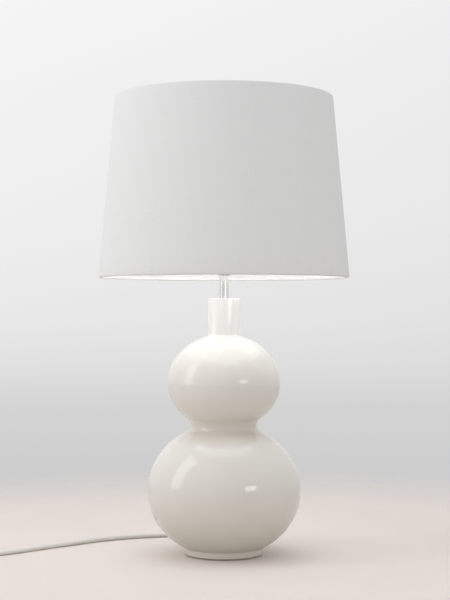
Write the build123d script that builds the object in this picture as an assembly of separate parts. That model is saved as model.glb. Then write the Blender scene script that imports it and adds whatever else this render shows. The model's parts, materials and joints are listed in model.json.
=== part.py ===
from build123d import *
import os
from math import atan2, cos, degrees, hypot, pi, radians, sin, sqrt, tan

# Table lamp: a tapered drum shade on a hollow glazed double-gourd body.
# Millimetres. Z is up, the origin is the middle of the underside of the felt pad,
# -Y is the front, and the lead leaves at the back.

# ---------------------------------------------------------------- driving dimensions
# Ceramic body: two bulbs, a straight neck and a foot ring
BODY_WALL = 5.0
NECK_R = 23.0
NECK_TOP = 363.8
NECK_LID = 6.0                # thickness of the closed top of the neck
UPPER_R = 80.0
UPPER_Z = 243.7               # height of the upper bulb's widest circle
UPPER_RISE = 70.0             # half height of the upper bulb above that circle
UPPER_DROP = 66.0             # and below it
LOWER_R = 108.9
LOWER_Z = 91.0
LOWER_RISE = 96.5
LOWER_DROP = 94.0
WAIST_FILLET = 10.0
WAIST_BORE_FILLET = 6.0       # inside, where the throat meets the two hollows
NECK_FILLET = 3.5
NECK_LIP_ROUND = 0.8
FOOT_TOP_R = 56.0
FOOT_LOW_R = 54.8
FOOT_HEIGHT = 9.3             # of the ring, above its underside
FOOT_RING_T = 8.6             # thickness of the ring at its underside
FOOT_EDGE = 2.4               # rounding of the ring's lower edges
POT_FLOOR = 6.0               # thickness of the body's floor
POT_RECESS = 7.5              # depth of the recess under that floor
POT_HOLE_R = 20.0             # hand hole in the floor, for the nut in the neck
FELT_T = 1.5
FELT_INSET = 3.0              # from the foot ring's outer wall to the felt's edge

# Clamped stack in the neck
NIPPLE_R = 5.15
NIPPLE_BORE_R = 3.9
NIPPLE_BELOW = 6.0            # how far the nipple stands out under its nut
NIPPLE_IN_CAP = 8.0
GASKET_R = 14.0
GASKET_T = 1.5
NECK_WASHER_R = 15.0
NECK_WASHER_T = 2.0
LOCK_WASHER_R = 9.0
LOCK_WASHER_T = 1.2
LOCK_WASHER_GAP = 1.6
NECK_NUT_ACROSS = 15.0
NECK_NUT_T = 5.0
NECK_NUT_CHAMFER = 0.9
TUBE_WALL = 1.0
TUBE_PLAY = 0.2               # between the nipple and the tube that hides it
TUBE_LENGTH = 32.6
CHECK_RING_R = 8.0
CHECK_RING_T = 2.5
CHECK_RING_ROUND = 0.9

# Harp and its saddle
SADDLE_T = 1.8
SADDLE_LAND = 0.8             # metal left beside the saddle's centre hole
SADDLE_CORNER = 3.5
SADDLE_LEDGE = 1.2            # how far the saddle reaches past the harp's legs
EAR_INNER_X = 22.2            # inner face of the saddle's upright ears
EAR_T = 1.8
EAR_WIDTH = 4.2
EAR_HEIGHT = 11.0
HARP_WIRE_R = 1.7
HARP_STRAIGHT = 37.0          # upright stretch of each leg
HARP_HALF_WIDTH = 55.0
HARP_HEIGHT = 219.4           # from the legs' lower ends to the middle of the top
HARP_FLARE = 42.0             # height over which each leg leans out to the full width
HARP_SHOULDER_DROP = 62.0     # from the top down to where each side starts to lean in
HARP_CROWN_IN = 26.0          # how far in and how far down the crown's corner lies
HARP_CROWN_DROP = 15.0
HARP_TOP_HALF = 9.0
SLEEVE_PLAY = 0.12            # between the sleeve's bore and the corners of the ear
SLEEVE_WALL = 0.7
SLEEVE_LENGTH = 13.0
SLEEVE_ROUND = 0.25
STUD_SHOULDER_R = 9.0
STUD_SHOULDER_T = 1.6
STUD_POST_R = 3.17
STUD_POST_LENGTH = 13.7
STUD_POST_CHAMFER = 0.6
STUD_GRIP = (12.0, 6.4, 5.0)  # block crimped round the harp's top: length, width, depth

# Socket and switch
CAP_HUB_R = 7.2
CAP_HUB_HEIGHT = 7.3
CAP_DOME_HEIGHT = 9.0
CAP_RIM_HEIGHT = 5.0
CAP_WALL = 0.9
CAP_CROWN_T = 1.26            # of the dome round the nipple
CAP_SHOULDER_IN = 2.2         # of the dome's shoulder, from the rim
CAP_SHOULDER_RISE = 5.0       # and above the dome's underside
CAP_HUB_FILLET = 2.0
CAP_SHOULDER_ROUND = 4.0
SET_SCREW_R = 1.5
SET_SCREW_PROUD = 0.3
SHELL_R = 16.0
SHELL_WALL = 0.8
SHELL_HEIGHT = 40.0
SHELL_BEAD = 0.5
SHELL_BEAD_DROPS = (10.0, 13.2)  # of the two rolled beads, below the shell's top
LINER_WALL = 0.9
LINER_SHORT = 0.8             # how far the liner stops below the shell's top
SLOT_PLAY = 0.4               # round the rotor, in the shell's and liner's slot
CORE_HEIGHT = 18.0
CORE_FLATS = 23.0             # across the core's two flats, where the terminals are
SCREW_SHELL_BORE_R = 13.3
SCREW_SHELL_WALL = 0.4
SCREW_SHELL_HEIGHT = 22.0
SCREW_SHELL_EYE_R = 6.5
LEAF_T = 0.4
LEAF_WIDTH = 5.0
LEAF_HALF = 4.5
LEAF_FOOT = 1.3               # length of each flat end
LEAF_CROWN_HALF = 1.4
LEAF_RISE = 2.0
TERMINAL_HEAD_R = 3.0
TERMINAL_HEAD_T = 2.0
TERMINAL_SHANK_R = 1.5
TERMINAL_SHANK = 4.0
TERMINAL_HOLE_SPARE = 0.5
TERMINAL_SLOT = (0.8, 0.7)    # width and depth of the driver slot
TERMINAL_DROP = 1.0           # below the switch axis
JACKET_ABOVE_CAP = 1.0        # how far the cord's jacket shows above the cap's floor
CONDUCTOR_R = 0.8
CONDUCTOR_X = 1.7             # where each leaves the jacket, from the axis
CONDUCTOR_RISE = 2.2
CONDUCTOR_GAP = 0.3           # between a conductor and what it passes
CONDUCTOR_BENDS = (0.9, 1.6)
SWITCH_HEIGHT = 7.0           # switch axis, below the core's top
ROTOR_R = 3.84
ROTOR_LENGTH = 5.0
ROTOR_BACK = 4.0              # rotor's inner face, from the lamp's axis
SWITCH_SHAFT_R = 2.0
KNOB_R = 4.6
KNOB_LENGTH = 20.0
KNOB_FLUTES = 12
KNOB_FLUTE_R = 0.7
KNOB_FLUTE_OUT = 0.2          # of a flute's middle, outside the knob
KNOB_FLUTE_SHORT = 5.0        # how much shorter than the knob a flute is
KNOB_ROUND = 1.0
KNOB_STANDOFF = 3.0           # gap between the shell's beads and the knob
KNOB_GRIP = 14.0              # length of shaft inside the knob
BUSHING_SHORT = 0.3           # how far the bushing stops inside the core's skin

# Bulb: medium screw base and a 60 mm globe
BULB_TIP_R = 4.8
BULB_TIP_T = 1.8
BULB_TIP_ROUND = 1.2
INSULATOR_T = 2.7
INSULATOR_LEDGE = 0.4         # how far the insulator's lower end stands out past the tip
INSULATOR_TOP_R = 9.5
BULB_CAP_R = 12.9
BULB_CAP_HEIGHT = 22.0
BULB_CAP_WALL = 0.5
THREAD_PITCH = 3.629
THREAD_DEPTH = 0.8
THREAD_GROOVE_R = 1.35
THREAD_START = 4.4            # middle of the lowest groove, above the cap's lower end
CAP_LEAD_IN = 3.2             # height of the taper below the first crest
BULB_SKIN = 1.2
HOUSING_FOOT_OUT = 0.6        # how far the housing's foot stands out past the cap
HOUSING_FOOT_HEIGHT = 3.0
HOUSING_FOOT_ROUND = 8.0
HOUSING_HEIGHT = 26.0
HOUSING_TOP_R = 23.5
GLOBE_R = 30.0
GLOBE_SKIRT_DROP = 13.5       # from the globe's middle down to where the ball turns into a skirt
BULB_HEIGHT = 108.6
LED_BOARD_T = 1.6
LED_COUNT = 12
LED_CIRCLE_R = 13.0
LED_SIZE = (2.8, 2.8, 0.8)
DRIVER_SIZE = (15.0, 1.4, 24.0)
BULB_TURNS = 6

# Shade: outer radii at the two edges, and the layers from outside to inside
SHADE_BOTTOM_Z = 393.1
SHADE_TOP_Z = 649.3
SHADE_BOTTOM_R = 177.8
SHADE_TOP_R = 154.5
FABRIC_T = 0.7
STYRENE_T = 0.6
SHADE_WIRE_R = 1.45
HEM_ROLL_R = 2.5
HEM_DEPTH = 12.0
SEAM_WIDTH = 12.0
SEAM_T = 0.4
SPIDER_WASHER_R = 13.0
SPIDER_WASHER_T = 1.5
SPIDER_ARM_R = 1.5
SPIDER_ARMS = 3
SPIDER_ARM_START = 8.0
SPIDER_ARM_BEND = 20.0
SPIDER_ARM_BEND_R = 25.0
SPIDER_WELD = 0.2             # how deep an arm is welded into the washer

# Finial
FINIAL_BUSH_WALL = 1.0
FINIAL_BUSH_LENGTH = 13.6
FINIAL_BASE_R = 7.2
FINIAL_WAIST_R = 5.2
FINIAL_BALL_R = 7.0
FINIAL_BASE_T = 2.2
FINIAL_BASE_ROUND = 0.8
FINIAL_NECK_RISE = 2.2        # of the slope from the base in to the waist
FINIAL_NECK_IN_BALL = 3.8     # how far the waist runs up into the ball
FINIAL_HEIGHT = 20.5

# Lead, its gland, coil, tie and plug
CORD_R = 3.5
GLAND_Z = 38.0                # where the gland's axis meets the body's skin
GLAND_FLANGE_R = 8.5
GLAND_FLANGE_T = 2.0
GLAND_BARREL_R = 6.0
GLAND_BARREL = 9.4
GLAND_BOOT = 26.0
GLAND_BOOT_TIP_R = 4.7
GLAND_FLANGE_ROUND = 0.9
GLAND_SLITS = 4
GLAND_SLIT_WIDTH = 1.1
GLAND_SLIT_MARGIN = 1.5       # plain boot before the first slit and after the last, in pitches
GLAND_SLIT_SKIN = 0.7         # of boot left round the cord under a slit
GLAND_SLIT_WEB = 0.6          # half of what is left between two facing slits
GLAND_NUT_ACROSS = 17.0
GLAND_NUT_T = 2.6
GLAND_NUT_PLAY = 0.3          # between the nut's corners and the wall
LEAD_DIP = 21.0               # from the boot's tip, along its axis, to the lead's first corner
INNER_CORD_STRAIGHT = 38.0    # inside the skin, along the gland's axis
INNER_CORD_WAIST = (22.0, 128.0)  # its corner below the waist: behind the axis, and height
INNER_CORD_DROP = 58.0        # of its corner in the waist, below the upper bulb's widest circle
LEAD_ON_TABLE = (             # x and y of the lead's corners, from where it lands to the coil
    (-7.0, 145.0), (-22.0, 156.5), (-46.0, 161.5), (-75.0, 160.5), (-107.0, 156.0), (-139.0, 144.0),
    (-171.0, 126.5), (-204.0, 100.0), (-235.0, 69.0), (-261.0, 44.5), (-285.0, 18.5), (-310.0, -5.0),
    (-333.0, -22.0), (-352.0, -38.0),
)
TAIL_STEPS = ((0.0, 0.0), (0.0, 13.0), (-0.5, 30.0), (-0.3, 48.0), (0.4, 62.0))  # x and y past the coil
TAIL_SAG = 0.4                # of the tail's third corner, below the top layer
COIL_OUTER_R = 48.3           # middle of the cord in the outermost turn
COIL_INNER_R = 30.2           # middle of the cord in the innermost turn
COIL_LAYER = 7.1              # from one layer's middle to the next
COIL_TURNS = 5.37
COIL_EDGE_ROUND = 3.0
TIE_WIDTH = 9.0
TIE_T = 1.0
TIE_EDGE_ROUND = 0.9
TIE_ROOM = 1.1                # between the coil's top and the tie
TIE_ANGLE = 118.0
PLUG_BODY = (22.0, 24.0, 14.0)   # width, length, thickness
PLUG_CORNER = 4.0
PLUG_SHOULDER = 2.5
PLUG_TAPER = 15.0
PLUG_TAPER_TIP_R = 4.4
PLUG_TAPER_ROOT_R = 6.4
PLUG_TAPER_SUNK = 4.0
PLUG_GROOVES = (7.2, 11.5, 15.8)  # across the grip, from its cord end
PLUG_GROOVE = (1.2, 0.6)      # width and depth
BLADE_LENGTH = 17.0
BLADE_SUNK = 6.0
BLADE_TIP_ROUND = 1.2
BLADE_EYE_R = 1.6
BLADE_EYE_IN = 5.0            # of the eye's middle, from the blade's tip
BLADE_T = 1.5
BLADE_WIDTHS = (6.35, 7.95)      # line and neutral
BLADE_SPACING = 12.7

# Clearances
RUNNING = 0.05                # round parts that turn in or on each other
SLIDING = 0.10                # parts that drop over or beside each other
EASY = 0.35                   # clearance holes
SEAT = 0.10                   # gap left under a part that rests on another body
PAST = 1.0                    # how far a cutting shape runs past what it cuts
SAME = 0.01                   # how closely two lengths agree that are meant to be equal

# ---------------------------------------------------------------- levels and radii
FOOT_UNDER = FELT_T
FOOT_TOP = FOOT_UNDER + FOOT_HEIGHT
POT_UNDER = FOOT_UNDER + POT_RECESS
POT_TOP = POT_UNDER + POT_FLOOR
LID_UNDER = NECK_TOP - NECK_LID
GASKET_UNDER = LID_UNDER - GASKET_T
NECK_WASHER_UNDER = GASKET_UNDER - NECK_WASHER_T
LOCK_WASHER_UNDER = NECK_WASHER_UNDER - LOCK_WASHER_T
NECK_NUT_UNDER = LOCK_WASHER_UNDER - NECK_NUT_T
NIPPLE_UNDER = NECK_NUT_UNDER - NIPPLE_BELOW
TUBE_TOP = NECK_TOP + TUBE_LENGTH
CHECK_TOP = TUBE_TOP + CHECK_RING_T
SADDLE_TOP = CHECK_TOP + SADDLE_T
NIPPLE_TOP = SADDLE_TOP + NIPPLE_IN_CAP
NIPPLE_HOLE_R = NIPPLE_R + RUNNING
TUBE_R = NIPPLE_R + TUBE_PLAY + TUBE_WALL
SADDLE_WIDTH = 2 * (NIPPLE_HOLE_R + SADDLE_LAND)

EAR_OUTER_X = EAR_INNER_X + EAR_T
LEG_X = EAR_OUTER_X + SLIDING + HARP_WIRE_R
LEG_UNDER = SADDLE_TOP + SEAT
SLEEVE_X = (EAR_INNER_X + LEG_X + HARP_WIRE_R) / 2
SLEEVE_BORE_R = hypot(SLEEVE_X - EAR_INNER_X, EAR_WIDTH / 2) + SLEEVE_PLAY
SADDLE_HALF = LEG_X + HARP_WIRE_R + SADDLE_LEDGE
HARP_TOP_Z = LEG_UNDER + HARP_HEIGHT
SHOULDER_UNDER = HARP_TOP_Z + HARP_WIRE_R + RUNNING
SHOULDER_TOP = SHOULDER_UNDER + STUD_SHOULDER_T
POST_TOP = SHOULDER_TOP + STUD_POST_LENGTH

CAP_DOME_UNDER = SADDLE_TOP + CAP_HUB_HEIGHT
CAP_RIM_UNDER = CAP_DOME_UNDER + CAP_DOME_HEIGHT
CAP_TOP = CAP_RIM_UNDER + CAP_RIM_HEIGHT
CAP_RIM_R = SHELL_R + SLIDING + CAP_WALL
SHELL_UNDER = CAP_RIM_UNDER + CAP_WALL
SHELL_TOP = SHELL_UNDER + SHELL_HEIGHT
LINER_R = SHELL_R - SHELL_WALL - SLIDING
CORE_R = LINER_R - LINER_WALL - SLIDING
CORE_UNDER = SHELL_UNDER - CAP_WALL
CORE_TOP = CORE_UNDER + CORE_HEIGHT
SWITCH_Z = CORE_TOP - SWITCH_HEIGHT
TERMINAL_Z = SWITCH_Z - TERMINAL_DROP
KNOB_START = SHELL_R + SHELL_BEAD + KNOB_STANDOFF
CORD_TOP_Z = CAP_DOME_UNDER + CAP_CROWN_T + JACKET_ABOVE_CAP
SCREW_SHELL_R = SCREW_SHELL_BORE_R + SCREW_SHELL_WALL
LEAF_TOP = CORE_TOP + LEAF_RISE + LEAF_T

BULB_UNDER = LEAF_TOP + SEAT
INSULATOR_UNDER = BULB_UNDER + BULB_TIP_T
BULB_CAP_UNDER = INSULATOR_UNDER + INSULATOR_T + RUNNING
BULB_CAP_TOP = BULB_CAP_UNDER + BULB_CAP_HEIGHT
HOUSING_TOP = BULB_CAP_TOP + HOUSING_HEIGHT
GLOBE_Z = BULB_UNDER + BULB_HEIGHT - GLOBE_R
LED_POCKET_R = HOUSING_TOP_R - 2 * BULB_SKIN
LED_BOARD_R = LED_POCKET_R - SLIDING
BULB_CLIMB = BULB_TURNS * THREAD_PITCH

WASHER_UNDER = SHOULDER_TOP + SEAT / 2
WASHER_TOP = WASHER_UNDER + SPIDER_WASHER_T
WASHER_HOLE_R = STUD_POST_R + SLIDING
FINIAL_UNDER = WASHER_TOP + SEAT / 2
BUSH_BORE_R = STUD_POST_R + RUNNING
BUSH_R = BUSH_BORE_R + FINIAL_BUSH_WALL

SHADE_LEAN = atan2(SHADE_BOTTOM_R - SHADE_TOP_R, SHADE_TOP_Z - SHADE_BOTTOM_Z)
SHADE_SLANT = hypot(SHADE_BOTTOM_R - SHADE_TOP_R, SHADE_TOP_Z - SHADE_BOTTOM_Z)
WIRE_INSET = FABRIC_T + STYRENE_T + RUNNING + SHADE_WIRE_R

BOOT_TIP = GLAND_FLANGE_T + GLAND_BOOT
COIL_TOP = 2 * CORD_R + COIL_LAYER
PLUG_Z = PLUG_BODY[2] / 2

PARTS = "parts"


# ---------------------------------------------------------------- helpers
def save(name, *solids):
    """Write one node: a solid, or a group of separate solids."""
    shape = solids[0] if len(solids) == 1 else Compound(children=list(solids))
    export_step(shape, os.path.join(PARTS, name + ".step"))


def rod(radius, low, high):
    return Pos(0, 0, low) * Cylinder(radius, high - low, align=(Align.CENTER, Align.CENTER, Align.MIN))


def ring(outer, inner, low, high):
    return rod(outer, low, high) - rod(inner, low - PAST, high + PAST)


def cone(low_r, high_r, low, high):
    return Pos(0, 0, low) * Cone(low_r, high_r, high - low, align=(Align.CENTER, Align.CENTER, Align.MIN))


def block(x_size, y_size, low, high):
    return Pos(0, 0, low) * Box(x_size, y_size, high - low, align=(Align.CENTER, Align.CENTER, Align.MIN))


def hexagon(across, low, high):
    flat = RegularPolygon(across / sqrt(3), 6)
    return extrude(Pos(0, 0, low) * flat, high - low)


def turned(sketch):
    """Spin an outline drawn as (radius, height) about Z."""
    return revolve(Plane.XZ * sketch, Axis.Z)


def outline(*points):
    return make_face(Polyline(*points, close=True))


def corner(sketch, point, radius):
    """Round the outline's corner nearest to a point."""
    spot = Vector(*point)
    nearest = min(sketch.vertices(), key=lambda v: (Vector(v.X, v.Y) - spot).length)
    return fillet(nearest, radius)


def bar(points, radii, radius):
    """A round bar or cord along straight runs joined by tangent arcs."""
    line = FilletPolyline(*points, radius=radii)
    start = Plane(origin=line @ 0, z_dir=line % 0)
    return sweep(start * Circle(radius), path=line)


def runs_of(points):
    return [Vector(*b) - Vector(*a) for a, b in zip(points, points[1:])]


def eased_radii(points, share=0.45):
    """The largest arcs that the runs allow: a share of the shorter run at each corner."""
    runs = runs_of(points)
    return [share * min(a.length, b.length) / tan(radians(a.get_angle(b)) / 2)
            for a, b in zip(runs, runs[1:])]


def path_length(points, radii):
    runs = runs_of(points)
    total = sum(run.length for run in runs)
    for first, second, radius in zip(runs, runs[1:], radii):
        turn = radians(first.get_angle(second))
        total += radius * turn - 2 * radius * tan(turn / 2)
    return total


def save_cord(name, points):
    """Write one free stretch of the lead, and print what its route measures."""
    radii = eased_radii(points)
    solid = bar(points, radii, CORD_R)
    save(name, solid)
    runs = runs_of(points)
    turns = [a.get_angle(b) for a, b in zip(runs, runs[1:])]
    length = path_length(points, radii)
    swept = pi * CORD_R**2 * length
    print(name, "length", round(length, 1), "volume / (section x length)", round(solid.volume / swept, 5))
    print(name, "runs", [round(run.length, 1) for run in runs])
    print(name, "turns", [round(turn, 1) for turn in turns])
    print(name, "arc radii", [round(radius, 1) for radius in radii])


# ---------------------------------------------------------------- ceramic body and felt
def gourd(set_in=0.0, throat_r=0.0):
    """Outline of the two bulbs and the neck on both sides of the axis, set in from the skin by a wall."""
    far = 2 * (UPPER_R + LOWER_R)
    above = Rectangle(far, far, align=(Align.CENTER, Align.MIN))
    below = Rectangle(far, far, align=(Align.CENTER, Align.MAX))

    def bulb(radius, rise, drop, middle):
        upper = Ellipse(radius - set_in, rise - set_in) & above
        lower = Ellipse(radius - set_in, drop - set_in) & below
        return Pos(0, middle) * (upper + lower)

    neck_r = NECK_R - set_in
    shape = bulb(UPPER_R, UPPER_RISE, UPPER_DROP, UPPER_Z) + bulb(LOWER_R, LOWER_RISE, LOWER_DROP, LOWER_Z)
    shape += Pos(0, UPPER_Z) * Rectangle(2 * neck_r, NECK_TOP - UPPER_Z, align=(Align.CENTER, Align.MIN))
    if throat_r:
        shape += Pos(0, LOWER_Z) * Rectangle(2 * throat_r, UPPER_Z - LOWER_Z, align=(Align.CENTER, Align.MIN))
    corners = shape.vertices()
    neck_base = [v for v in corners if abs(abs(v.X) - neck_r) < SAME and UPPER_Z < v.Y < NECK_TOP - PAST]
    shape = fillet(neck_base, NECK_FILLET + set_in)
    waist = [v for v in shape.vertices() if LOWER_Z + PAST < v.Y < UPPER_Z - PAST]
    return fillet(waist, WAIST_BORE_FILLET if throat_r else WAIST_FILLET)


def waist_radius(skin):
    """The outline's narrowest half width between the two bulbs."""
    arcs = [edge @ 0.5 for edge in skin.edges().filter_by(GeomType.CIRCLE)]
    return min(abs(middle.X) for middle in arcs if LOWER_Z < middle.Y < UPPER_Z)


def ceramic_body():
    skin = gourd()
    right_half = Rectangle(2 * LOWER_R, 2 * NECK_TOP, align=(Align.MIN, Align.MIN))
    outside = skin & Pos(0, FOOT_TOP) * right_half
    foot = outline((0, FOOT_UNDER), (FOOT_LOW_R, FOOT_UNDER), (FOOT_TOP_R, FOOT_TOP), (0, FOOT_TOP))
    foot = corner(foot, (FOOT_LOW_R, FOOT_UNDER), FOOT_EDGE)
    ring_inner = FOOT_LOW_R - FOOT_RING_T
    recess = outline((0, FOOT_UNDER), (ring_inner, FOOT_UNDER), (ring_inner, POT_UNDER), (0, POT_UNDER))
    hollow_zone = Pos(0, POT_TOP) * Rectangle(2 * LOWER_R, LID_UNDER - POT_TOP, align=(Align.MIN, Align.MIN))
    hollow = gourd(BODY_WALL, waist_radius(skin) - BODY_WALL) & hollow_zone
    clay = turned(outside) + turned(foot) - turned(recess) - turned(hollow)
    clay -= rod(POT_HOLE_R, POT_UNDER - PAST, POT_TOP + PAST)
    clay -= rod(NIPPLE_R + EASY, LID_UNDER - PAST, NECK_TOP + PAST)
    lip = clay.edges().filter_by(GeomType.CIRCLE).group_by(Axis.Z)[-1].sort_by(SortBy.RADIUS)[-1]
    clay = fillet(lip, NECK_LIP_ROUND)
    return clay - gland_frame() * rod(GLAND_BARREL_R + SLIDING, -3 * BODY_WALL, 3 * BODY_WALL)


def felt_pad():
    return rod(FOOT_LOW_R - FELT_INSET, 0, FELT_T)


# ---------------------------------------------------------------- clamped stack in the neck
def lock_washer():
    disc = ring(LOCK_WASHER_R, NIPPLE_HOLE_R, LOCK_WASHER_UNDER, NECK_WASHER_UNDER)
    split = block(2 * LOCK_WASHER_R, LOCK_WASHER_GAP, LOCK_WASHER_UNDER - PAST, NECK_WASHER_UNDER + PAST)
    return disc - Pos(LOCK_WASHER_R, 0, 0) * split


def neck_nut():
    blank = hexagon(NECK_NUT_ACROSS, NECK_NUT_UNDER, LOCK_WASHER_UNDER)
    turned_blank = rod(NECK_NUT_ACROSS / sqrt(3), NECK_NUT_UNDER, LOCK_WASHER_UNDER)
    turned_blank = chamfer(turned_blank.edges().filter_by(GeomType.CIRCLE), NECK_NUT_CHAMFER)
    return (blank & turned_blank) - rod(NIPPLE_HOLE_R, NECK_NUT_UNDER - PAST, LOCK_WASHER_UNDER + PAST)


def check_ring():
    disc = ring(CHECK_RING_R, NIPPLE_HOLE_R, TUBE_TOP, CHECK_TOP)
    upper_edge = disc.edges().filter_by(GeomType.CIRCLE).group_by(Axis.Z)[-1].sort_by(SortBy.RADIUS)[-1]
    return fillet(upper_edge, CHECK_RING_ROUND)


# ---------------------------------------------------------------- harp
def harp_saddle():
    strip = block(2 * SADDLE_HALF, SADDLE_WIDTH, CHECK_TOP, SADDLE_TOP)
    strip = fillet(strip.edges().filter_by(Axis.Z), SADDLE_CORNER)
    strip -= rod(NIPPLE_HOLE_R, CHECK_TOP - PAST, SADDLE_TOP + PAST)
    ear = Pos(EAR_INNER_X + EAR_T / 2, 0, 0) * block(EAR_T, EAR_WIDTH, CHECK_TOP, SADDLE_TOP + EAR_HEIGHT)
    ear = fillet(ear.edges().filter_by(Axis.X).group_by(Axis.Z)[-1], EAR_WIDTH / 3)
    return strip + ear + mirror(ear, Plane.YZ)


def harp_points():
    knee_z = LEG_UNDER + HARP_STRAIGHT
    right = [
        (LEG_X, 0, LEG_UNDER),
        (LEG_X, 0, knee_z),
        (HARP_HALF_WIDTH, 0, knee_z + HARP_FLARE),
        (HARP_HALF_WIDTH, 0, HARP_TOP_Z - HARP_SHOULDER_DROP),
        (HARP_HALF_WIDTH - HARP_CROWN_IN, 0, HARP_TOP_Z - HARP_CROWN_DROP),
        (HARP_TOP_HALF, 0, HARP_TOP_Z),
    ]
    return right + [(-x, y, z) for x, y, z in reversed(right)]


def harp_bow(play=0.0):
    points = harp_points()
    return bar(points, eased_radii(points), HARP_WIRE_R + play)


def harp_stud():
    grip_length, grip_width, grip_depth = STUD_GRIP
    grip = block(grip_length, grip_width, SHOULDER_UNDER - grip_depth, SHOULDER_UNDER)
    post = rod(STUD_POST_R, SHOULDER_TOP, POST_TOP)
    post = chamfer(post.edges().filter_by(GeomType.CIRCLE).sort_by(Axis.Z)[-1], STUD_POST_CHAMFER)
    return grip - harp_bow(RUNNING) + rod(STUD_SHOULDER_R, SHOULDER_UNDER, SHOULDER_TOP) + post


def sleeve():
    low = SADDLE_TOP + SEAT
    tube = ring(SLEEVE_BORE_R + SLEEVE_WALL, SLEEVE_BORE_R, low, low + SLEEVE_LENGTH)
    return Pos(SLEEVE_X, 0, 0) * fillet(tube.edges().filter_by(GeomType.CIRCLE), SLEEVE_ROUND)


# ---------------------------------------------------------------- socket and switch
def socket_cap():
    dome = CAP_DOME_UNDER
    crown = dome + CAP_CROWN_T
    shoulder_r = CAP_RIM_R - CAP_SHOULDER_IN
    shoulder_z = dome + CAP_SHOULDER_RISE
    shape = outline(
        (NIPPLE_HOLE_R, SADDLE_TOP), (CAP_HUB_R, SADDLE_TOP), (CAP_HUB_R, dome), (shoulder_r, shoulder_z),
        (CAP_RIM_R, CAP_RIM_UNDER), (CAP_RIM_R, CAP_TOP), (CAP_RIM_R - CAP_WALL, CAP_TOP),
        (CAP_RIM_R - CAP_WALL, CAP_RIM_UNDER), (shoulder_r - CAP_WALL, shoulder_z + CAP_WALL),
        (CAP_HUB_R, crown), (NIPPLE_HOLE_R, crown),
    )
    shape = corner(shape, (CAP_HUB_R, dome), CAP_HUB_FILLET)
    shape = corner(shape, (shoulder_r, shoulder_z), CAP_SHOULDER_ROUND)
    return turned(shape) - set_screw(RUNNING)


def set_screw(play=0.0):
    """In the cap's hub, at the back, with its point just off the nipple's thread."""
    inner = NIPPLE_HOLE_R
    length = CAP_HUB_R + SET_SCREW_PROUD - inner
    shank = Cylinder(SET_SCREW_R + play, length, align=(Align.CENTER, Align.CENTER, Align.MIN))
    return Pos(0, inner, SADDLE_TOP + CAP_HUB_HEIGHT / 2) * Rot(-90, 0, 0) * shank


def shaft_slot():
    """The notch that lets the shell and liner drop over the switch shaft."""
    half = ROTOR_R + SLOT_PLAY
    reach = 2 * SHELL_R
    upright = Pos(0, -reach / 2, 0) * block(2 * half, reach, SHELL_UNDER - PAST, SWITCH_Z)
    return upright + along_front(half, 0, reach)


def socket_shell():
    tube = ring(SHELL_R, SHELL_R - SHELL_WALL, SHELL_UNDER, SHELL_TOP)
    for drop in SHELL_BEAD_DROPS:
        bead = Torus(SHELL_R, SHELL_BEAD) - Cylinder(SHELL_R, 3 * SHELL_BEAD)
        tube += Pos(0, 0, SHELL_TOP - drop) * bead
    return tube - shaft_slot()


def socket_liner():
    return ring(LINER_R, LINER_R - LINER_WALL, SHELL_UNDER, SHELL_TOP - LINER_SHORT) - shaft_slot()


def along_front(radius, near, far):
    """A round bar on the switch axis, from one distance in front of the lamp's axis to another."""
    bar_solid = Cylinder(radius, far - near, align=(Align.CENTER, Align.CENTER, Align.MIN))
    return Pos(0, -near, SWITCH_Z) * Rot(90, 0, 0) * bar_solid


def socket_core():
    core = rod(CORE_R, CORE_UNDER, CORE_TOP) & block(CORE_FLATS, 2 * CORE_R, CORE_UNDER, CORE_TOP)
    core -= along_front(ROTOR_R + RUNNING, ROTOR_BACK - SEAT, 2 * CORE_R)
    depth = TERMINAL_SHANK + TERMINAL_HOLE_SPARE
    for side in (-1, 1):
        hole = Pos(side * (CORE_FLATS - depth) / 2, 0, TERMINAL_Z) * Rot(0, 90, 0)
        core -= hole * Cylinder(TERMINAL_SHANK_R, depth)
    return core


def terminal_screw(side):
    shank = Cylinder(TERMINAL_SHANK_R, TERMINAL_SHANK, align=(Align.CENTER, Align.CENTER, Align.MAX))
    head = Cylinder(TERMINAL_HEAD_R, TERMINAL_HEAD_T, align=(Align.CENTER, Align.CENTER, Align.MIN))
    slot_width, slot_depth = TERMINAL_SLOT
    slot = Pos(0, 0, TERMINAL_HEAD_T) * Box(2 * TERMINAL_HEAD_R, slot_width, 2 * slot_depth)
    screw = Pos(CORE_FLATS / 2, 0, TERMINAL_Z) * Rot(0, 90, 0) * (shank + head - slot)
    return screw if side > 0 else mirror(screw, Plane.YZ)


def screw_shell():
    wall = ring(SCREW_SHELL_R, SCREW_SHELL_BORE_R, CORE_TOP, CORE_TOP + SCREW_SHELL_HEIGHT)
    return wall + ring(SCREW_SHELL_R, SCREW_SHELL_EYE_R, CORE_TOP, CORE_TOP + SCREW_SHELL_WALL)


def centre_contact():
    """A bronze leaf: flat ends on the core, and a raised middle under the bulb's tip."""
    flat = LEAF_HALF - LEAF_FOOT
    knee = flat - LEAF_T / 2
    under = CORE_TOP + LEAF_RISE
    side = outline(
        (-LEAF_HALF, CORE_TOP), (-flat, CORE_TOP), (-LEAF_CROWN_HALF, under), (LEAF_CROWN_HALF, under),
        (flat, CORE_TOP), (LEAF_HALF, CORE_TOP), (LEAF_HALF, CORE_TOP + LEAF_T), (knee, CORE_TOP + LEAF_T),
        (LEAF_CROWN_HALF, LEAF_TOP), (-LEAF_CROWN_HALF, LEAF_TOP), (-knee, CORE_TOP + LEAF_T),
        (-LEAF_HALF, CORE_TOP + LEAF_T),
    )
    return extrude(Plane.XZ * side, LEAF_WIDTH / 2, both=True)


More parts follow.
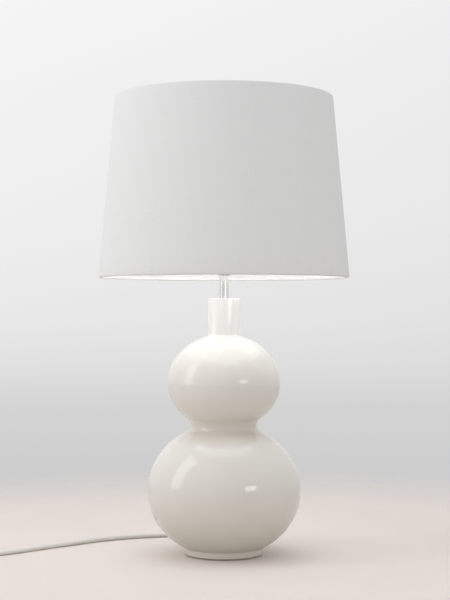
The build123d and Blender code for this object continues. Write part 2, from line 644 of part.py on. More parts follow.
def conductor(side):
    """From the end of the jacket, out under the core and up to its terminal screw."""
    room = CONDUCTOR_R + CONDUCTOR_GAP
    reach = CORE_FLATS / 2 + room
    points = [
        (side * CONDUCTOR_X, 0, CORD_TOP_Z),
        (side * CONDUCTOR_X, 0, CORD_TOP_Z + CONDUCTOR_RISE),
        (side * reach, 0, CORE_UNDER - room),
        (side * reach, 0, TERMINAL_Z - TERMINAL_HEAD_R),
    ]
    return bar(points, list(CONDUCTOR_BENDS), CONDUCTOR_R)


def switch_rotor():
    cam = along_front(ROTOR_R, ROTOR_BACK, ROTOR_BACK + ROTOR_LENGTH)
    return cam + along_front(SWITCH_SHAFT_R, ROTOR_BACK, KNOB_START + KNOB_GRIP)


def switch_bushing():
    start = ROTOR_BACK + ROTOR_LENGTH + SEAT
    bush = along_front(ROTOR_R + RUNNING, start, CORE_R - BUSHING_SHORT)
    return bush - along_front(SWITCH_SHAFT_R + RUNNING, start - PAST, CORE_R)


def switch_knob():
    knob = along_front(KNOB_R, KNOB_START, KNOB_START + KNOB_LENGTH)
    knob = fillet(knob.edges().filter_by(GeomType.CIRCLE), KNOB_ROUND)
    middle = Pos(0, -(KNOB_START + KNOB_LENGTH / 2), SWITCH_Z)
    flute = Rot(90, 0, 0) * Cylinder(KNOB_FLUTE_R, KNOB_LENGTH - KNOB_FLUTE_SHORT)
    flute = Pos(KNOB_R + KNOB_FLUTE_OUT, 0, 0) * flute
    for step in range(KNOB_FLUTES):
        knob -= middle * Rot(0, 360 / KNOB_FLUTES * step, 0) * flute
    return knob - along_front(SWITCH_SHAFT_R, KNOB_START - PAST, KNOB_START + KNOB_GRIP)


# ---------------------------------------------------------------- bulb
def bulb_tip():
    button = rod(BULB_TIP_R, BULB_UNDER, INSULATOR_UNDER)
    return fillet(button.edges().filter_by(GeomType.CIRCLE).sort_by(Axis.Z)[0], BULB_TIP_ROUND)


def bulb_insulator():
    return cone(BULB_TIP_R + INSULATOR_LEDGE, INSULATOR_TOP_R, INSULATOR_UNDER, INSULATOR_UNDER + INSULATOR_T)


def bulb_screw_cap():
    """Rolled thread, drawn as rings: a straight wall with rounded grooves one pitch apart."""
    low = BULB_CAP_UNDER
    crest = BULB_CAP_R
    bore = crest - BULB_CAP_WALL - THREAD_DEPTH
    shape = outline(
        (INSULATOR_TOP_R, low), (crest, low + CAP_LEAD_IN), (crest, BULB_CAP_TOP), (bore, BULB_CAP_TOP),
        (bore, low + CAP_LEAD_IN + BULB_CAP_WALL), (INSULATOR_TOP_R - BULB_CAP_WALL / 2, low + BULB_CAP_WALL),
    )
    grooves = int((BULB_CAP_HEIGHT - THREAD_START - THREAD_GROOVE_R) / THREAD_PITCH) + 1
    for step in range(grooves):
        middle = Pos(crest + THREAD_GROOVE_R - THREAD_DEPTH, low + THREAD_START + step * THREAD_PITCH)
        shape -= middle * Circle(THREAD_GROOVE_R)
    return turned(shape)


def bulb_housing():
    """The bulb's lower cone, with a stepped pocket in its rim that the LED board drops into."""
    low, high = BULB_CAP_TOP, HOUSING_TOP
    foot_r = BULB_CAP_R + HOUSING_FOOT_OUT
    foot_top = low + HOUSING_FOOT_HEIGHT
    bore = foot_r - BULB_SKIN
    ledge_z = high - LED_BOARD_T
    shape = outline(
        (bore, low), (foot_r, low), (foot_r, foot_top), (HOUSING_TOP_R, high), (LED_POCKET_R, high),
        (LED_POCKET_R, ledge_z), (LED_POCKET_R - BULB_SKIN, ledge_z), (bore, foot_top),
    )
    return turned(corner(shape, (foot_r, foot_top), HOUSING_FOOT_ROUND))


def bulb_globe():
    """The diffuser: a ball above, and a skirt that tapers in to the housing below."""
    skirt_top = GLOBE_Z - GLOBE_SKIRT_DROP
    skirt_r = sqrt(GLOBE_R**2 - GLOBE_SKIRT_DROP**2)
    upper = Sphere(GLOBE_R) - Sphere(GLOBE_R - BULB_SKIN)
    upper = Pos(0, 0, GLOBE_Z) * upper & rod(2 * GLOBE_R, skirt_top, GLOBE_Z + 2 * GLOBE_R)
    inner_r = sqrt((GLOBE_R - BULB_SKIN) ** 2 - GLOBE_SKIRT_DROP**2)
    skirt = outline((HOUSING_TOP_R - BULB_SKIN, HOUSING_TOP), (HOUSING_TOP_R, HOUSING_TOP),
                    (skirt_r, skirt_top), (inner_r, skirt_top))
    return upper + turned(skirt)


def led_chips():
    chip_x, chip_y, chip_t = LED_SIZE
    chip = Pos(LED_CIRCLE_R, 0, 0) * block(chip_x, chip_y, HOUSING_TOP, HOUSING_TOP + chip_t)
    return [Rot(0, 0, 360 / LED_COUNT * step) * chip for step in range(LED_COUNT)]


def driver_board():
    width, thick, height = DRIVER_SIZE
    return block(width, thick, HOUSING_TOP - LED_BOARD_T - height, HOUSING_TOP - LED_BOARD_T)


# ---------------------------------------------------------------- shade
def on_shade(sketch):
    """Place an outline drawn as (outwards, up the slant) on the shade's outer line."""
    return Pos(SHADE_BOTTOM_R, SHADE_BOTTOM_Z) * Rot(0, 0, degrees(SHADE_LEAN)) * sketch


def shade_point(outwards, up):
    """Radius and height of a point given in the slant's own frame."""
    radius = SHADE_BOTTOM_R + outwards * cos(SHADE_LEAN) - up * sin(SHADE_LEAN)
    return radius, SHADE_BOTTOM_Z + outwards * sin(SHADE_LEAN) + up * cos(SHADE_LEAN)


def strip(outer, inner, low, high):
    return outline((-inner, low), (-outer, low), (-outer, high), (-inner, high))


def hem(low):
    """The fabric rolled round the edge wire and turned up inside, at the lower edge."""
    roll = Pos(-HEM_ROLL_R, low) * (Circle(HEM_ROLL_R) - Circle(HEM_ROLL_R - FABRIC_T))
    roll = roll & Pos(0, low) * Rectangle(2 * HEM_ROLL_R, HEM_ROLL_R, align=(Align.MAX, Align.MAX))
    return roll + strip(2 * HEM_ROLL_R - FABRIC_T, 2 * HEM_ROLL_R, low, low + HEM_DEPTH - HEM_ROLL_R)


def shade_cover():
    lower = hem(HEM_ROLL_R)
    upper = Pos(0, SHADE_SLANT) * mirror(lower, Plane.XZ)
    wall = strip(0, FABRIC_T, HEM_ROLL_R, SHADE_SLANT - HEM_ROLL_R)
    cover = turned(on_shade(wall + lower + upper))
    for arm in spider_arms(SLIDING):
        cover -= arm
    return cover


def shade_liner():
    face = strip(FABRIC_T, FABRIC_T + STYRENE_T, HEM_ROLL_R, SHADE_SLANT - HEM_ROLL_R)
    return turned(on_shade(face))


def seam_strip():
    face = strip(-SEAM_T, 0, HEM_ROLL_R, SHADE_SLANT - HEM_ROLL_R)
    sweep_angle = degrees(SEAM_WIDTH / SHADE_BOTTOM_R)
    band = revolve(Plane.XZ * on_shade(face), Axis.Z, revolution_arc=sweep_angle)
    return Rot(0, 0, 90 - sweep_angle / 2) * band


def edge_ring(up):
    radius, height = shade_point(-WIRE_INSET, up)
    return Pos(0, 0, height) * Torus(radius, SHADE_WIRE_R)


def spider_arms(play=0.0):
    """Round arms from the washer out to the top ring, each cut off inside the ring's wire."""
    ring_r, ring_z = shade_point(-WIRE_INSET, SHADE_SLANT - HEM_ROLL_R)
    arm_z = WASHER_TOP + SPIDER_ARM_R - SPIDER_WELD
    points = [(SPIDER_ARM_START, 0, arm_z), (SPIDER_ARM_BEND, 0, arm_z), (ring_r, 0, ring_z)]
    arm = bar(points, [SPIDER_ARM_BEND_R], SPIDER_ARM_R + play)
    inside = rod(ring_r, WASHER_UNDER - SPIDER_WASHER_R, SHADE_TOP_Z)
    arm = arm & inside - edge_ring(SHADE_SLANT - HEM_ROLL_R)
    return [Rot(0, 0, 90 + 360 / SPIDER_ARMS * step) * arm for step in range(SPIDER_ARMS)]


def shade_spider():
    spider = ring(SPIDER_WASHER_R, WASHER_HOLE_R, WASHER_UNDER, WASHER_TOP)
    for arm in spider_arms():
        spider += arm
    return spider


# ---------------------------------------------------------------- finial
def finial_bush():
    return ring(BUSH_R, BUSH_BORE_R, FINIAL_UNDER, FINIAL_UNDER + FINIAL_BUSH_LENGTH)


def finial_knob():
    low = FINIAL_UNDER
    base_top = low + FINIAL_BASE_T
    ball_z = low + FINIAL_HEIGHT - FINIAL_BALL_R
    neck_top = ball_z - FINIAL_BALL_R + FINIAL_NECK_IN_BALL
    foot = outline((0, low), (FINIAL_BASE_R, low), (FINIAL_BASE_R, base_top),
                   (FINIAL_WAIST_R, base_top + FINIAL_NECK_RISE), (FINIAL_WAIST_R, neck_top), (0, neck_top))
    foot = corner(foot, (FINIAL_BASE_R, base_top), FINIAL_BASE_ROUND)
    knob = turned(foot) + Pos(0, 0, ball_z) * Sphere(FINIAL_BALL_R)
    return knob - rod(BUSH_R + RUNNING, low - PAST, low + FINIAL_BUSH_LENGTH + SEAT)


# ---------------------------------------------------------------- gland and lead
def gland_spot():
    """Where the gland's axis meets the lower bulb, and how steeply the skin there looks down."""
    drop = (GLAND_Z - LOWER_Z) / LOWER_DROP
    radius = LOWER_R * sqrt(1 - drop**2)
    slope = atan2(-drop / LOWER_DROP, radius / LOWER_R**2)
    return radius, slope


def gland_frame():
    """Local Z runs out of the body along the gland's axis, with its zero on the skin."""
    radius, slope = gland_spot()
    out = (0, cos(slope), -sin(slope))
    return Plane(origin=(0, radius, GLAND_Z), x_dir=(1, 0, 0), z_dir=out).location


def along_gland(distance):
    radius, slope = gland_spot()
    return (0, radius + distance * cos(slope), GLAND_Z - distance * sin(slope))


def cord_gland():
    """Flange, tapered boot with staggered slits, and a barrel that goes in through the wall."""
    flange = rod(GLAND_FLANGE_R, 0, GLAND_FLANGE_T)
    flange = fillet(flange.edges().filter_by(GeomType.CIRCLE).sort_by(Axis.Z)[-1], GLAND_FLANGE_ROUND)
    boot = cone(GLAND_BARREL_R, GLAND_BOOT_TIP_R, GLAND_FLANGE_T, BOOT_TIP)
    pitch = GLAND_BOOT / (GLAND_SLITS - 1 + 2 * GLAND_SLIT_MARGIN)
    wide = 4 * GLAND_BARREL_R
    for step in range(GLAND_SLITS):
        low = GLAND_FLANGE_T + pitch * (step + GLAND_SLIT_MARGIN)
        slit = ring(2 * GLAND_BARREL_R, CORD_R + GLAND_SLIT_SKIN, low, low + GLAND_SLIT_WIDTH)
        side = 1 if step % 2 else -1
        half = block(wide, wide, low - PAST, low + GLAND_SLIT_WIDTH + PAST)
        boot -= slit & Pos(0, side * (wide / 2 + GLAND_SLIT_WEB), 0) * half
    gland = flange + boot + rod(GLAND_BARREL_R, -GLAND_BARREL, 0)
    return gland_frame() * (gland - rod(CORD_R + RUNNING, -GLAND_BARREL - PAST, BOOT_TIP + PAST))


def gland_nut():
    """Inside the body, seated where its corners meet the concave wall."""
    corner_r = GLAND_NUT_ACROSS / sqrt(3)
    hollow = corner_r**2 / (2 * (LOWER_DROP - BODY_WALL))
    face = -BODY_WALL - hollow - GLAND_NUT_PLAY
    nut = hexagon(GLAND_NUT_ACROSS, face - GLAND_NUT_T, face)
    return gland_frame() * (nut - rod(GLAND_BARREL_R + RUNNING, face - GLAND_NUT_T - PAST, face + PAST))


def inner_cord():
    """Jacketed lead inside the body: from the boot's tip, up through the waist and the nipple."""
    points = [
        along_gland(BOOT_TIP),
        along_gland(-INNER_CORD_STRAIGHT),
        (0, INNER_CORD_WAIST[0], INNER_CORD_WAIST[1]),
        (0, 0, UPPER_Z - INNER_CORD_DROP),
        (0, 0, CORD_TOP_Z),
    ]
    return bar(points, eased_radii(points), CORD_R)


def lead_points():
    """Free lead: out of the boot, down to the table, round behind the body and off to the left."""
    leaving = [along_gland(BOOT_TIP), along_gland(BOOT_TIP + LEAD_DIP)]
    return leaving + [(x, y, CORD_R) for x, y in LEAD_ON_TABLE]


def coil_centre():
    """The lead runs into the outermost turn along its tangent, with the coil on its right."""
    end, before = lead_points()[-1], lead_points()[-2]
    heading = atan2(end[1] - before[1], end[0] - before[0])
    return end[0] + COIL_OUTER_R * sin(heading), end[1] - COIL_OUTER_R * cos(heading)


def cord_coil():
    """Outer shape of the wound turns, with a flat under it where the tie passes."""
    inner, outer = COIL_INNER_R - CORD_R, COIL_OUTER_R + CORD_R
    body = ring(outer, inner, 0, COIL_TOP)
    body = fillet(body.edges().filter_by(GeomType.CIRCLE), COIL_EDGE_ROUND)
    flat = Pos(outer, 0, 0) * block(2 * outer, TIE_WIDTH + 2 * SLIDING, -PAST, TIE_T + RUNNING)
    x, y = coil_centre()
    return Pos(x, y, 0) * (body - Rot(0, 0, TIE_ANGLE) * flat)


def cord_tie():
    """A flat strap round all the turns at one place."""
    near = sqrt((COIL_INNER_R - CORD_R) ** 2 - (TIE_WIDTH / 2) ** 2) - RUNNING
    far = COIL_OUTER_R + CORD_R + RUNNING
    top = COIL_TOP + TIE_ROOM
    middle = (near + far) / 2
    band = block(far - near + 2 * TIE_T, TIE_WIDTH, 0, top + TIE_T)
    band = fillet(band.edges().filter_by(Axis.Y), TIE_EDGE_ROUND)
    band -= block(far - near, 2 * TIE_WIDTH, TIE_T, top)
    x, y = coil_centre()
    return Pos(x, y, 0) * Rot(0, 0, TIE_ANGLE) * Pos(middle, 0, 0) * band


def tail_points():
    """From the top layer's end on the coil's left side, level and then down into the plug."""
    x, y = coil_centre()
    top_layer = CORD_R + COIL_LAYER
    heights = (top_layer, top_layer, top_layer - TAIL_SAG, PLUG_Z, PLUG_Z)
    return [(x - COIL_OUTER_R + aside, y + along, z) for (aside, along), z in zip(TAIL_STEPS, heights)]


def plug_frame():
    before, end = tail_points()[-2:]
    heading = degrees(atan2(end[1] - before[1], end[0] - before[0]))
    return Pos(end[0], end[1], PLUG_Z) * Rot(0, 0, heading - 90)


def blade(side, width):
    length = BLADE_LENGTH + BLADE_SUNK
    start = PLUG_TAPER + PLUG_BODY[1] - BLADE_SUNK
    flat = Box(BLADE_T, length, width, align=(Align.CENTER, Align.MIN, Align.CENTER))
    flat = fillet(flat.edges().filter_by(Axis.X).group_by(Axis.Y)[-1], BLADE_TIP_ROUND)
    eye = Pos(0, length - BLADE_EYE_IN, 0) * Rot(0, 90, 0) * Cylinder(BLADE_EYE_R, 3 * BLADE_T)
    return Pos(side * BLADE_SPACING / 2, start, 0) * (flat - eye)


def plug_body(blades):
    width, length, thick = PLUG_BODY
    body = Pos(0, PLUG_TAPER, 0) * Box(width, length, thick, align=(Align.CENTER, Align.MIN, Align.CENTER))
    body = fillet(body.edges().filter_by(Axis.Y), PLUG_CORNER)
    body = fillet(body.edges().group_by(Axis.Y)[0], PLUG_SHOULDER)
    body += Rot(-90, 0, 0) * cone(PLUG_TAPER_TIP_R, PLUG_TAPER_ROOT_R, 0, PLUG_TAPER + PLUG_TAPER_SUNK)
    groove_width, groove_depth = PLUG_GROOVE
    for along in PLUG_GROOVES:
        kept = Box(width - 2 * groove_depth, 2 * groove_width, 2 * thick)
        body -= Pos(0, PLUG_TAPER + along, 0) * (Box(2 * width, groove_width, 2 * thick) - kept)
    for flat in blades:
        body -= flat
    return body


# ---------------------------------------------------------------- build
def build():
    os.makedirs(PARTS, exist_ok=True)
    save("ceramic_body", ceramic_body())
    save("felt_pad", felt_pad())
    save("lamp_nipple", ring(NIPPLE_R, NIPPLE_BORE_R, NIPPLE_UNDER, NIPPLE_TOP))
    save("neck_gasket", ring(GASKET_R, NIPPLE_HOLE_R, GASKET_UNDER, LID_UNDER))
    save("neck_washer", ring(NECK_WASHER_R, NIPPLE_HOLE_R, NECK_WASHER_UNDER, GASKET_UNDER))
    save("neck_lock_washer", lock_washer())
    save("neck_nut", neck_nut())
    save("neck_tube", ring(TUBE_R, TUBE_R - TUBE_WALL, NECK_TOP, TUBE_TOP))
    save("check_ring", check_ring())

    save("harp_saddle", harp_saddle())
    save("harp_bow", harp_bow())
    save("harp_stud", harp_stud())
    right_sleeve = sleeve()
    save("harp_sleeve_right", right_sleeve)
    save("harp_sleeve_left", mirror(right_sleeve, Plane.YZ))

    save("socket_cap", socket_cap())
    save("socket_set_screw", set_screw())
    save("socket_shell", socket_shell())
    save("socket_liner", socket_liner())
    save("socket_core", socket_core())
    save("terminal_screws", terminal_screw(1), terminal_screw(-1))
    save("socket_screw_shell", screw_shell())
    save("centre_contact", centre_contact())
    save("conductor_line", conductor(1))
    save("conductor_neutral", conductor(-1))
    save("switch_rotor", switch_rotor())
    save("switch_bushing", switch_bushing())
    save("switch_knob", switch_knob())

    save("bulb_contact_tip", bulb_tip())
    save("bulb_insulator", bulb_insulator())
    save("bulb_screw_cap", bulb_screw_cap())
    save("bulb_housing", bulb_housing())
    save("bulb_globe", bulb_globe())
    save("bulb_led_board", rod(LED_BOARD_R, HOUSING_TOP - LED_BOARD_T, HOUSING_TOP))
    save("bulb_led_chips", *led_chips())
    save("bulb_driver_board", driver_board())

    save("shade_cover", shade_cover())
    save("shade_liner", shade_liner())
    save("shade_seam", seam_strip())
    save("shade_bottom_ring", edge_ring(HEM_ROLL_R))
    save("shade_top_ring", edge_ring(SHADE_SLANT - HEM_ROLL_R))
    save("shade_spider", shade_spider())
    save("finial_bush", finial_bush())
    save("finial_knob", finial_knob())

    save("cord_gland", cord_gland())
    save("cord_gland_nut", gland_nut())
    save("inner_cord", inner_cord())
    save_cord("cord_lead", lead_points())
    save("cord_coil", cord_coil())
    save("cord_tie", cord_tie())
    save_cord("cord_tail", tail_points())
    blades = [blade(side, width) for side, width in zip((-1, 1), BLADE_WIDTHS)]
    save("plug_body", plug_frame() * plug_body(blades))
    save("plug_blades", *[plug_frame() * flat for flat in blades])
    turn_length = pi * (COIL_OUTER_R + COIL_INNER_R)
    print("cord in the coil's turns", round(COIL_TURNS * turn_length, 1))
    print("coil centre", [round(value, 2) for value in coil_centre()])
    print("gland tip", [round(value, 2) for value in along_gland(BOOT_TIP)])
    print("bulb climb", round(BULB_CLIMB, 3))


build()
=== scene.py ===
# %% [markdown]
# # A table lamp: drum shade over a glazed double-gourd body
#
# The exact model of the lamp comes from CAD, where each piece that can be held by itself is a
# solid of its own, with its joints. This lesson gives that model its looks. It loads the solids,
# swaps the soft ones (cord, shade cloth, felt) for pieces modelled here, and gives every other
# piece a material of its own.
#
# Everything is in metres. Z is up, -Y is the lamp's front, and the origin is the middle of the
# underside of the felt pad.

import json
from math import atan2, cos, pi, radians, sin, tan, tau

import bmesh
import bpy
import numpy as np
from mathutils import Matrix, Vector


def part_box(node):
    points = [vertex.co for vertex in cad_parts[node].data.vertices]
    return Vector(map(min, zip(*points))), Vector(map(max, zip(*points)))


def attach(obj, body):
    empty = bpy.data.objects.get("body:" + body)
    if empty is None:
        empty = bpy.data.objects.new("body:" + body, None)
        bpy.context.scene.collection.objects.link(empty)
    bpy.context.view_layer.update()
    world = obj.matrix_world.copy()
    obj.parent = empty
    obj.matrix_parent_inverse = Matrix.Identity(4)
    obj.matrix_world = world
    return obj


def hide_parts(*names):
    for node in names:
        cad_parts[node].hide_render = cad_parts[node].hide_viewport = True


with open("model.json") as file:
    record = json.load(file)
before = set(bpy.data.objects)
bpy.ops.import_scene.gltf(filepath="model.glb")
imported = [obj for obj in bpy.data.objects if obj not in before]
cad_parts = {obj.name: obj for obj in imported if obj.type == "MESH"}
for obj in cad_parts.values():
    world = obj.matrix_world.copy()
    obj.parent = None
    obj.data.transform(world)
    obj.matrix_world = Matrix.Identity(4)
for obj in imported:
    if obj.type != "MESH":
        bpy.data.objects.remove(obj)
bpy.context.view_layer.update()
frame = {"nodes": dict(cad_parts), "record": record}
nodes = frame["nodes"]
scene = bpy.context.scene
scene.view_settings.view_transform = "Standard"

# %% [markdown]
# ## The camera
#
# A lamp like this is shot for a catalogue from about the height of its neck, dead level, with a
# long lens, so that the shade's two rims show as shallow curves and the body isn't distorted. A
# level camera keeps uprights upright. A little shift of the lens, instead of a tilt, sets the
# lamp in the frame.

# %% Camera
lens = bpy.data.cameras.new("camera")
lens.lens = 85.87
lens.shift_x = 0.0016
lens.shift_y = 0.0257
camera = bpy.data.objects.new("camera", lens)
camera.location = (0.0, -2.0338, 0.33975)
camera.rotation_euler = (radians(90), 0, 0)
scene.collection.objects.link(camera)
scene.camera = camera
print("camera is", round(-camera.location.y, 2), "m in front of the lamp, with a", lens.lens, "mm lens")

# %% [markdown]
# ## The lead
#
# The lamp has 1.8 m of round 7 mm lead. It leaves the back of the body through a strain relief
# that points down at the table, comes round the left of the body in one slack curve and goes out
# of the view. The length that is put away is wound in five and a bit neat turns, in two layers,
# held by a strap, and ends in its plug.
#
# A quadratic NURBS spline is a good stand-in for a flexible lead: it has no corners, and it passes
# smoothly inside each control point. So the lead is one spline, and its control points are the
# corners of the route that the CAD tube takes. The coil's turns are more points of that same
# spline, set by a short loop: a ring of control points makes a near-perfect circle if it is drawn
# a little larger than the circle.

# %% The lead's route
lead_radius = 0.0035
boot_tip = (0.0, 0.1119, 0.02063)
off_the_boot = (0.0, 0.1284, 0.0076)
along_the_table = [
    (-0.007, 0.145), (-0.022, 0.1565), (-0.046, 0.1615), (-0.075, 0.1605), (-0.107, 0.156),
    (-0.139, 0.144), (-0.171, 0.1265), (-0.204, 0.100), (-0.235, 0.069), (-0.261, 0.0445),
    (-0.285, 0.0185), (-0.310, -0.005), (-0.333, -0.022), (-0.352, -0.038),
]
route = [boot_tip, off_the_boot] + [(x, y, lead_radius) for x, y in along_the_table]
print("the lead's loose stretch has", len(route), "points")

# %% The coil's turns
coil_outer = 0.0483
coil_inner = 0.0302
layer_step = 0.0071
points_per_turn = 14
turns_down = 2.5       # turns spent winding inwards on the table
turns_up = 0.36        # turns spent climbing onto the second layer
turns = 5.361
strap_angle = radians(118)
strap_lift = 0.00105   # the strap passes under the turns and lifts them

(before_x, before_y), (end_x, end_y) = along_the_table[-2:]
heading = atan2(end_y - before_y, end_x - before_x)
coil_x = end_x + coil_outer * sin(heading)
coil_y = end_y - coil_outer * cos(heading)
start_angle = heading + pi / 2


def turn_radius(turn):
    """Middle of the cord, from the coil's centre: inwards, round the inside, and outwards on top."""
    pitch = (coil_outer - coil_inner) / turns_down
    if turn < turns_down:
        return coil_outer - pitch * turn
    return coil_inner + pitch * max(0.0, turn - turns_down - turns_up)


def turn_height(turn, angle):
    climbed = min(1.0, max(0.0, (turn - turns_down) / turns_up))
    smooth = climbed * climbed * (3 - 2 * climbed)
    off_strap = abs((angle - strap_angle + pi) % tau - pi)
    lift = strap_lift if off_strap < radians(26) else 0.0
    return lead_radius + layer_step * smooth + lift


for step in range(int(turns * points_per_turn)):
    turn = (step + 0.5) / points_per_turn
    angle = start_angle - tau * turn
    reach = turn_radius(turn) / cos(pi / points_per_turn)
    route.append((coil_x + reach * cos(angle), coil_y + reach * sin(angle), turn_height(turn, angle)))

side = coil_x - coil_outer
top_layer = lead_radius + layer_step
route += [
    (side, coil_y, top_layer), (side, coil_y + 0.013, top_layer),
    (side - 0.0005, coil_y + 0.030, top_layer - 0.0004), (side - 0.0003, coil_y + 0.048, 0.007),
    (side + 0.0004, coil_y + 0.062, 0.007),
]
print("the whole route has", len(route), "points; coil centre", round(coil_x, 4), round(coil_y, 4))


# %% The lead itself
def smooth_line(name, points):
    """A quadratic NURBS curve that starts and ends on its first and last point."""
    data = bpy.data.curves.new(name, "CURVE")
    data.dimensions = "3D"
    data.resolution_u = 10
    spline = data.splines.new("NURBS")
    spline.points.add(len(points) - 1)
    for point, place in zip(spline.points, points):
        point.co = (*place, 1)
    spline.order_u = 3
    spline.use_endpoint_u = True
    spline.use_smooth = True
    piece = bpy.data.objects.new(name, data)
    scene.collection.objects.link(piece)
    return piece


def line_points(piece):
    """The points of a curve's own centreline, read before it has any thickness."""
    mesh = bpy.data.meshes.new_from_object(piece)
    places = np.array([v.co for v in mesh.vertices])
    bpy.data.meshes.remove(mesh)
    return places


mains_lead = smooth_line("mains_lead", route)
centreline = line_points(mains_lead)
lead_length = float(np.linalg.norm(np.diff(centreline, axis=0), axis=1).sum())
mains_lead.data.bevel_depth = lead_radius
mains_lead.data.bevel_resolution = 7
mains_lead.data.use_fill_caps = True
print("the lead is", round(lead_length, 3), "m long")

# %% [markdown]
# ## The strap round the coil
#
# A flat plastic strap holds the turns. It is a ribbon bent into a loop: easiest as a strip of
# cross-sections carried along a rounded loop, which keeps its width and thickness everywhere.

# %% A helper that skins rows of points into a mesh
def skin(name, rows, closed_rows=False):
    """Join rings of points, each with as many points, by four-sided faces; open ends are capped."""
    mesh = bpy.data.meshes.new(name)
    count = len(rows[0])
    corners = [tuple(p) for row in rows for p in row]
    faces = []
    for i in range(len(rows) if closed_rows else len(rows) - 1):
        j = (i + 1) % len(rows)
        for a in range(count):
            b = (a + 1) % count
            faces.append((i * count + a, i * count + b, j * count + b, j * count + a))
    if not closed_rows:
        faces.append(tuple(reversed(range(count))))
        faces.append(tuple((len(rows) - 1) * count + a for a in range(count)))
    mesh.from_pydata(corners, [], faces)
    mesh.polygons.foreach_set("use_smooth", [True] * len(mesh.polygons))
    mesh.update()
    piece = bpy.data.objects.new(name, mesh)
    scene.collection.objects.link(piece)
    return piece


def face_outwards(piece):
    """Turn every face the same way, outwards."""
    work = bmesh.new()
    work.from_mesh(piece.data)
    bmesh.ops.recalc_face_normals(work, faces=work.faces)
    work.to_mesh(piece.data)
    work.free()


def rounded_corner(centre, radius, start, steps):
    return [(centre[0] + radius * cos(a), centre[1] + radius * sin(a))
            for a in np.linspace(start, start + pi / 2, steps)]


# %% The strap
strap_width, strap_thick = 0.009, 0.00095
strap_bend = 0.0016         # at the loop's four corners
strap_edge = 0.00028        # bevel along the ribbon
room_inside, room_outside = 0.0012, 0.0010   # from the turns to the ribbon's middle
near = coil_inner - lead_radius - room_inside
far = coil_outer + lead_radius + room_outside
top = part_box("cord_tie")[1].z - strap_thick / 2
bottom = strap_thick / 2
loop = []
low_turn, high_turn = bottom + strap_bend, top - strap_bend
far_turn, near_turn = far - strap_bend, near + strap_bend
for centre, start in (((far_turn, low_turn), -pi / 2), ((far_turn, high_turn), 0.0),
                      ((near_turn, high_turn), pi / 2), ((near_turn, low_turn), pi)):
    loop += rounded_corner(centre, strap_bend, start, 6)
half_w, half_t = strap_width / 2, strap_thick / 2
flat_w, flat_t = half_w - strap_edge, half_t - strap_edge
section = [(-flat_w, -half_t), (flat_w, -half_t), (half_w, -flat_t), (half_w, flat_t),
           (flat_w, half_t), (-flat_w, half_t), (-half_w, flat_t), (-half_w, -flat_t)]
out_way = Vector((cos(strap_angle), sin(strap_angle), 0))
side_way = Vector((-sin(strap_angle), cos(strap_angle), 0))
coil_centre = Vector((coil_x, coil_y, 0))


def strap_rows(path, closed):
    """Carry the strap's section along a path drawn in the plane that cuts the coil."""
    rows = []
    count = len(path)
    for i, (r, z) in enumerate(path):
        before = path[(i - 1) % count] if closed or i else path[i]
        after = path[(i + 1) % count] if closed or i < count - 1 else path[i]
        along = Vector((after[0] - before[0], after[1] - before[1])).normalized()
        normal = Vector((along.y, -along.x))
        rows.append([coil_centre + out_way * (r + normal.x * t) + side_way * w
                     + Vector((0, 0, z + normal.y * t)) for w, t in section])
    return rows


cable_strap = skin("cable_strap", strap_rows(loop, True), closed_rows=True)
face_outwards(cable_strap)
print("strap loop:", len(loop), "sections,", round((far - near) * 1000, 1), "mm across")

# %% [markdown]
# ## The shade's cloth
#
# The shade is cloth laminated to a stiff styrene sheet. The cloth is cut as a flat arc, rolled
# into a cone, and turned over a wire at each rim, so the rims are soft rolls, with a narrow hem
# inside. Cloth that is stretched over a stiff liner has no folds to simulate, so its section is
# drawn point by point and turned round the lamp's axis.
#
# Each point also gets its place on the flat cut, in metres, as its UV. Threads that run straight
# on the flat cut then lean a little more and more towards the seam at the back, as they do on a
# real conical shade.

# %% Where the cloth lies, from the two wires it is rolled round
cloth = 0.0007         # its thickness
roll = 0.0025          # radius of the roll round each wire, to the cloth's outer face
hem = 0.0095           # depth of the cloth turned in
face_out = 0.0028      # the cloth's outer face, outwards from the middle of the wires


def wire_middle(node):
    low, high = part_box(node)
    half = (high.z - low.z) / 2
    return Vector((high.x - half, (low.z + high.z) / 2))


wire_low, wire_high = wire_middle("shade_bottom_ring"), wire_middle("shade_top_ring")
up_way = (wire_high - wire_low).normalized()
out_from_wall = Vector((up_way.y, -up_way.x))
wall_length = (wire_high - wire_low).length
lean = atan2(-up_way.x, up_way.y)
print("shade wall:", round(wall_length, 4), "m up the slant, leaning", round(lean, 4), "rad")


def on_wall(out, up):
    """Radius and height of a point given outwards from the wires' line, and up it."""
    place = wire_low + out_from_wall * out + up_way * up
    return place.x, place.y


# %% The cloth's section and its length on the flat cut
def cloth_line(inset, steps=9):
    """One face of the cloth, from its hem at the lower rim, round both rolls, to its hem at the top."""
    middle = face_out - roll
    inside = middle - (roll - inset)
    bend = roll - inset
    round_roll = (roll - cloth / 2) * pi   # cloth used by half a turn round a wire
    line = [(inside, hem * k / 4, hem * (1 - k / 4)) for k in (4, 3, 2, 1, 0)]
    run = hem
    for k in range(1, steps + 1):
        a = pi + pi * k / steps
        line.append((middle + bend * cos(a), bend * sin(a), run + round_roll * k / steps))
    run += round_roll
    line += [(face_out - inset, wall_length * k / 12, run + wall_length * k / 12) for k in range(1, 13)]
    run += wall_length
    for k in range(1, steps + 1):
        a = pi * k / steps
        line.append((middle + bend * cos(a), wall_length + bend * sin(a), run + round_roll * k / steps))
    run += round_roll
    line += [(inside, wall_length - hem * k / 4, run + hem * k / 4) for k in (1, 2, 3, 4)]
    return line


outer_face = cloth_line(0.0)
inner_face = cloth_line(cloth)
cloth_section = outer_face + inner_face[::-1]


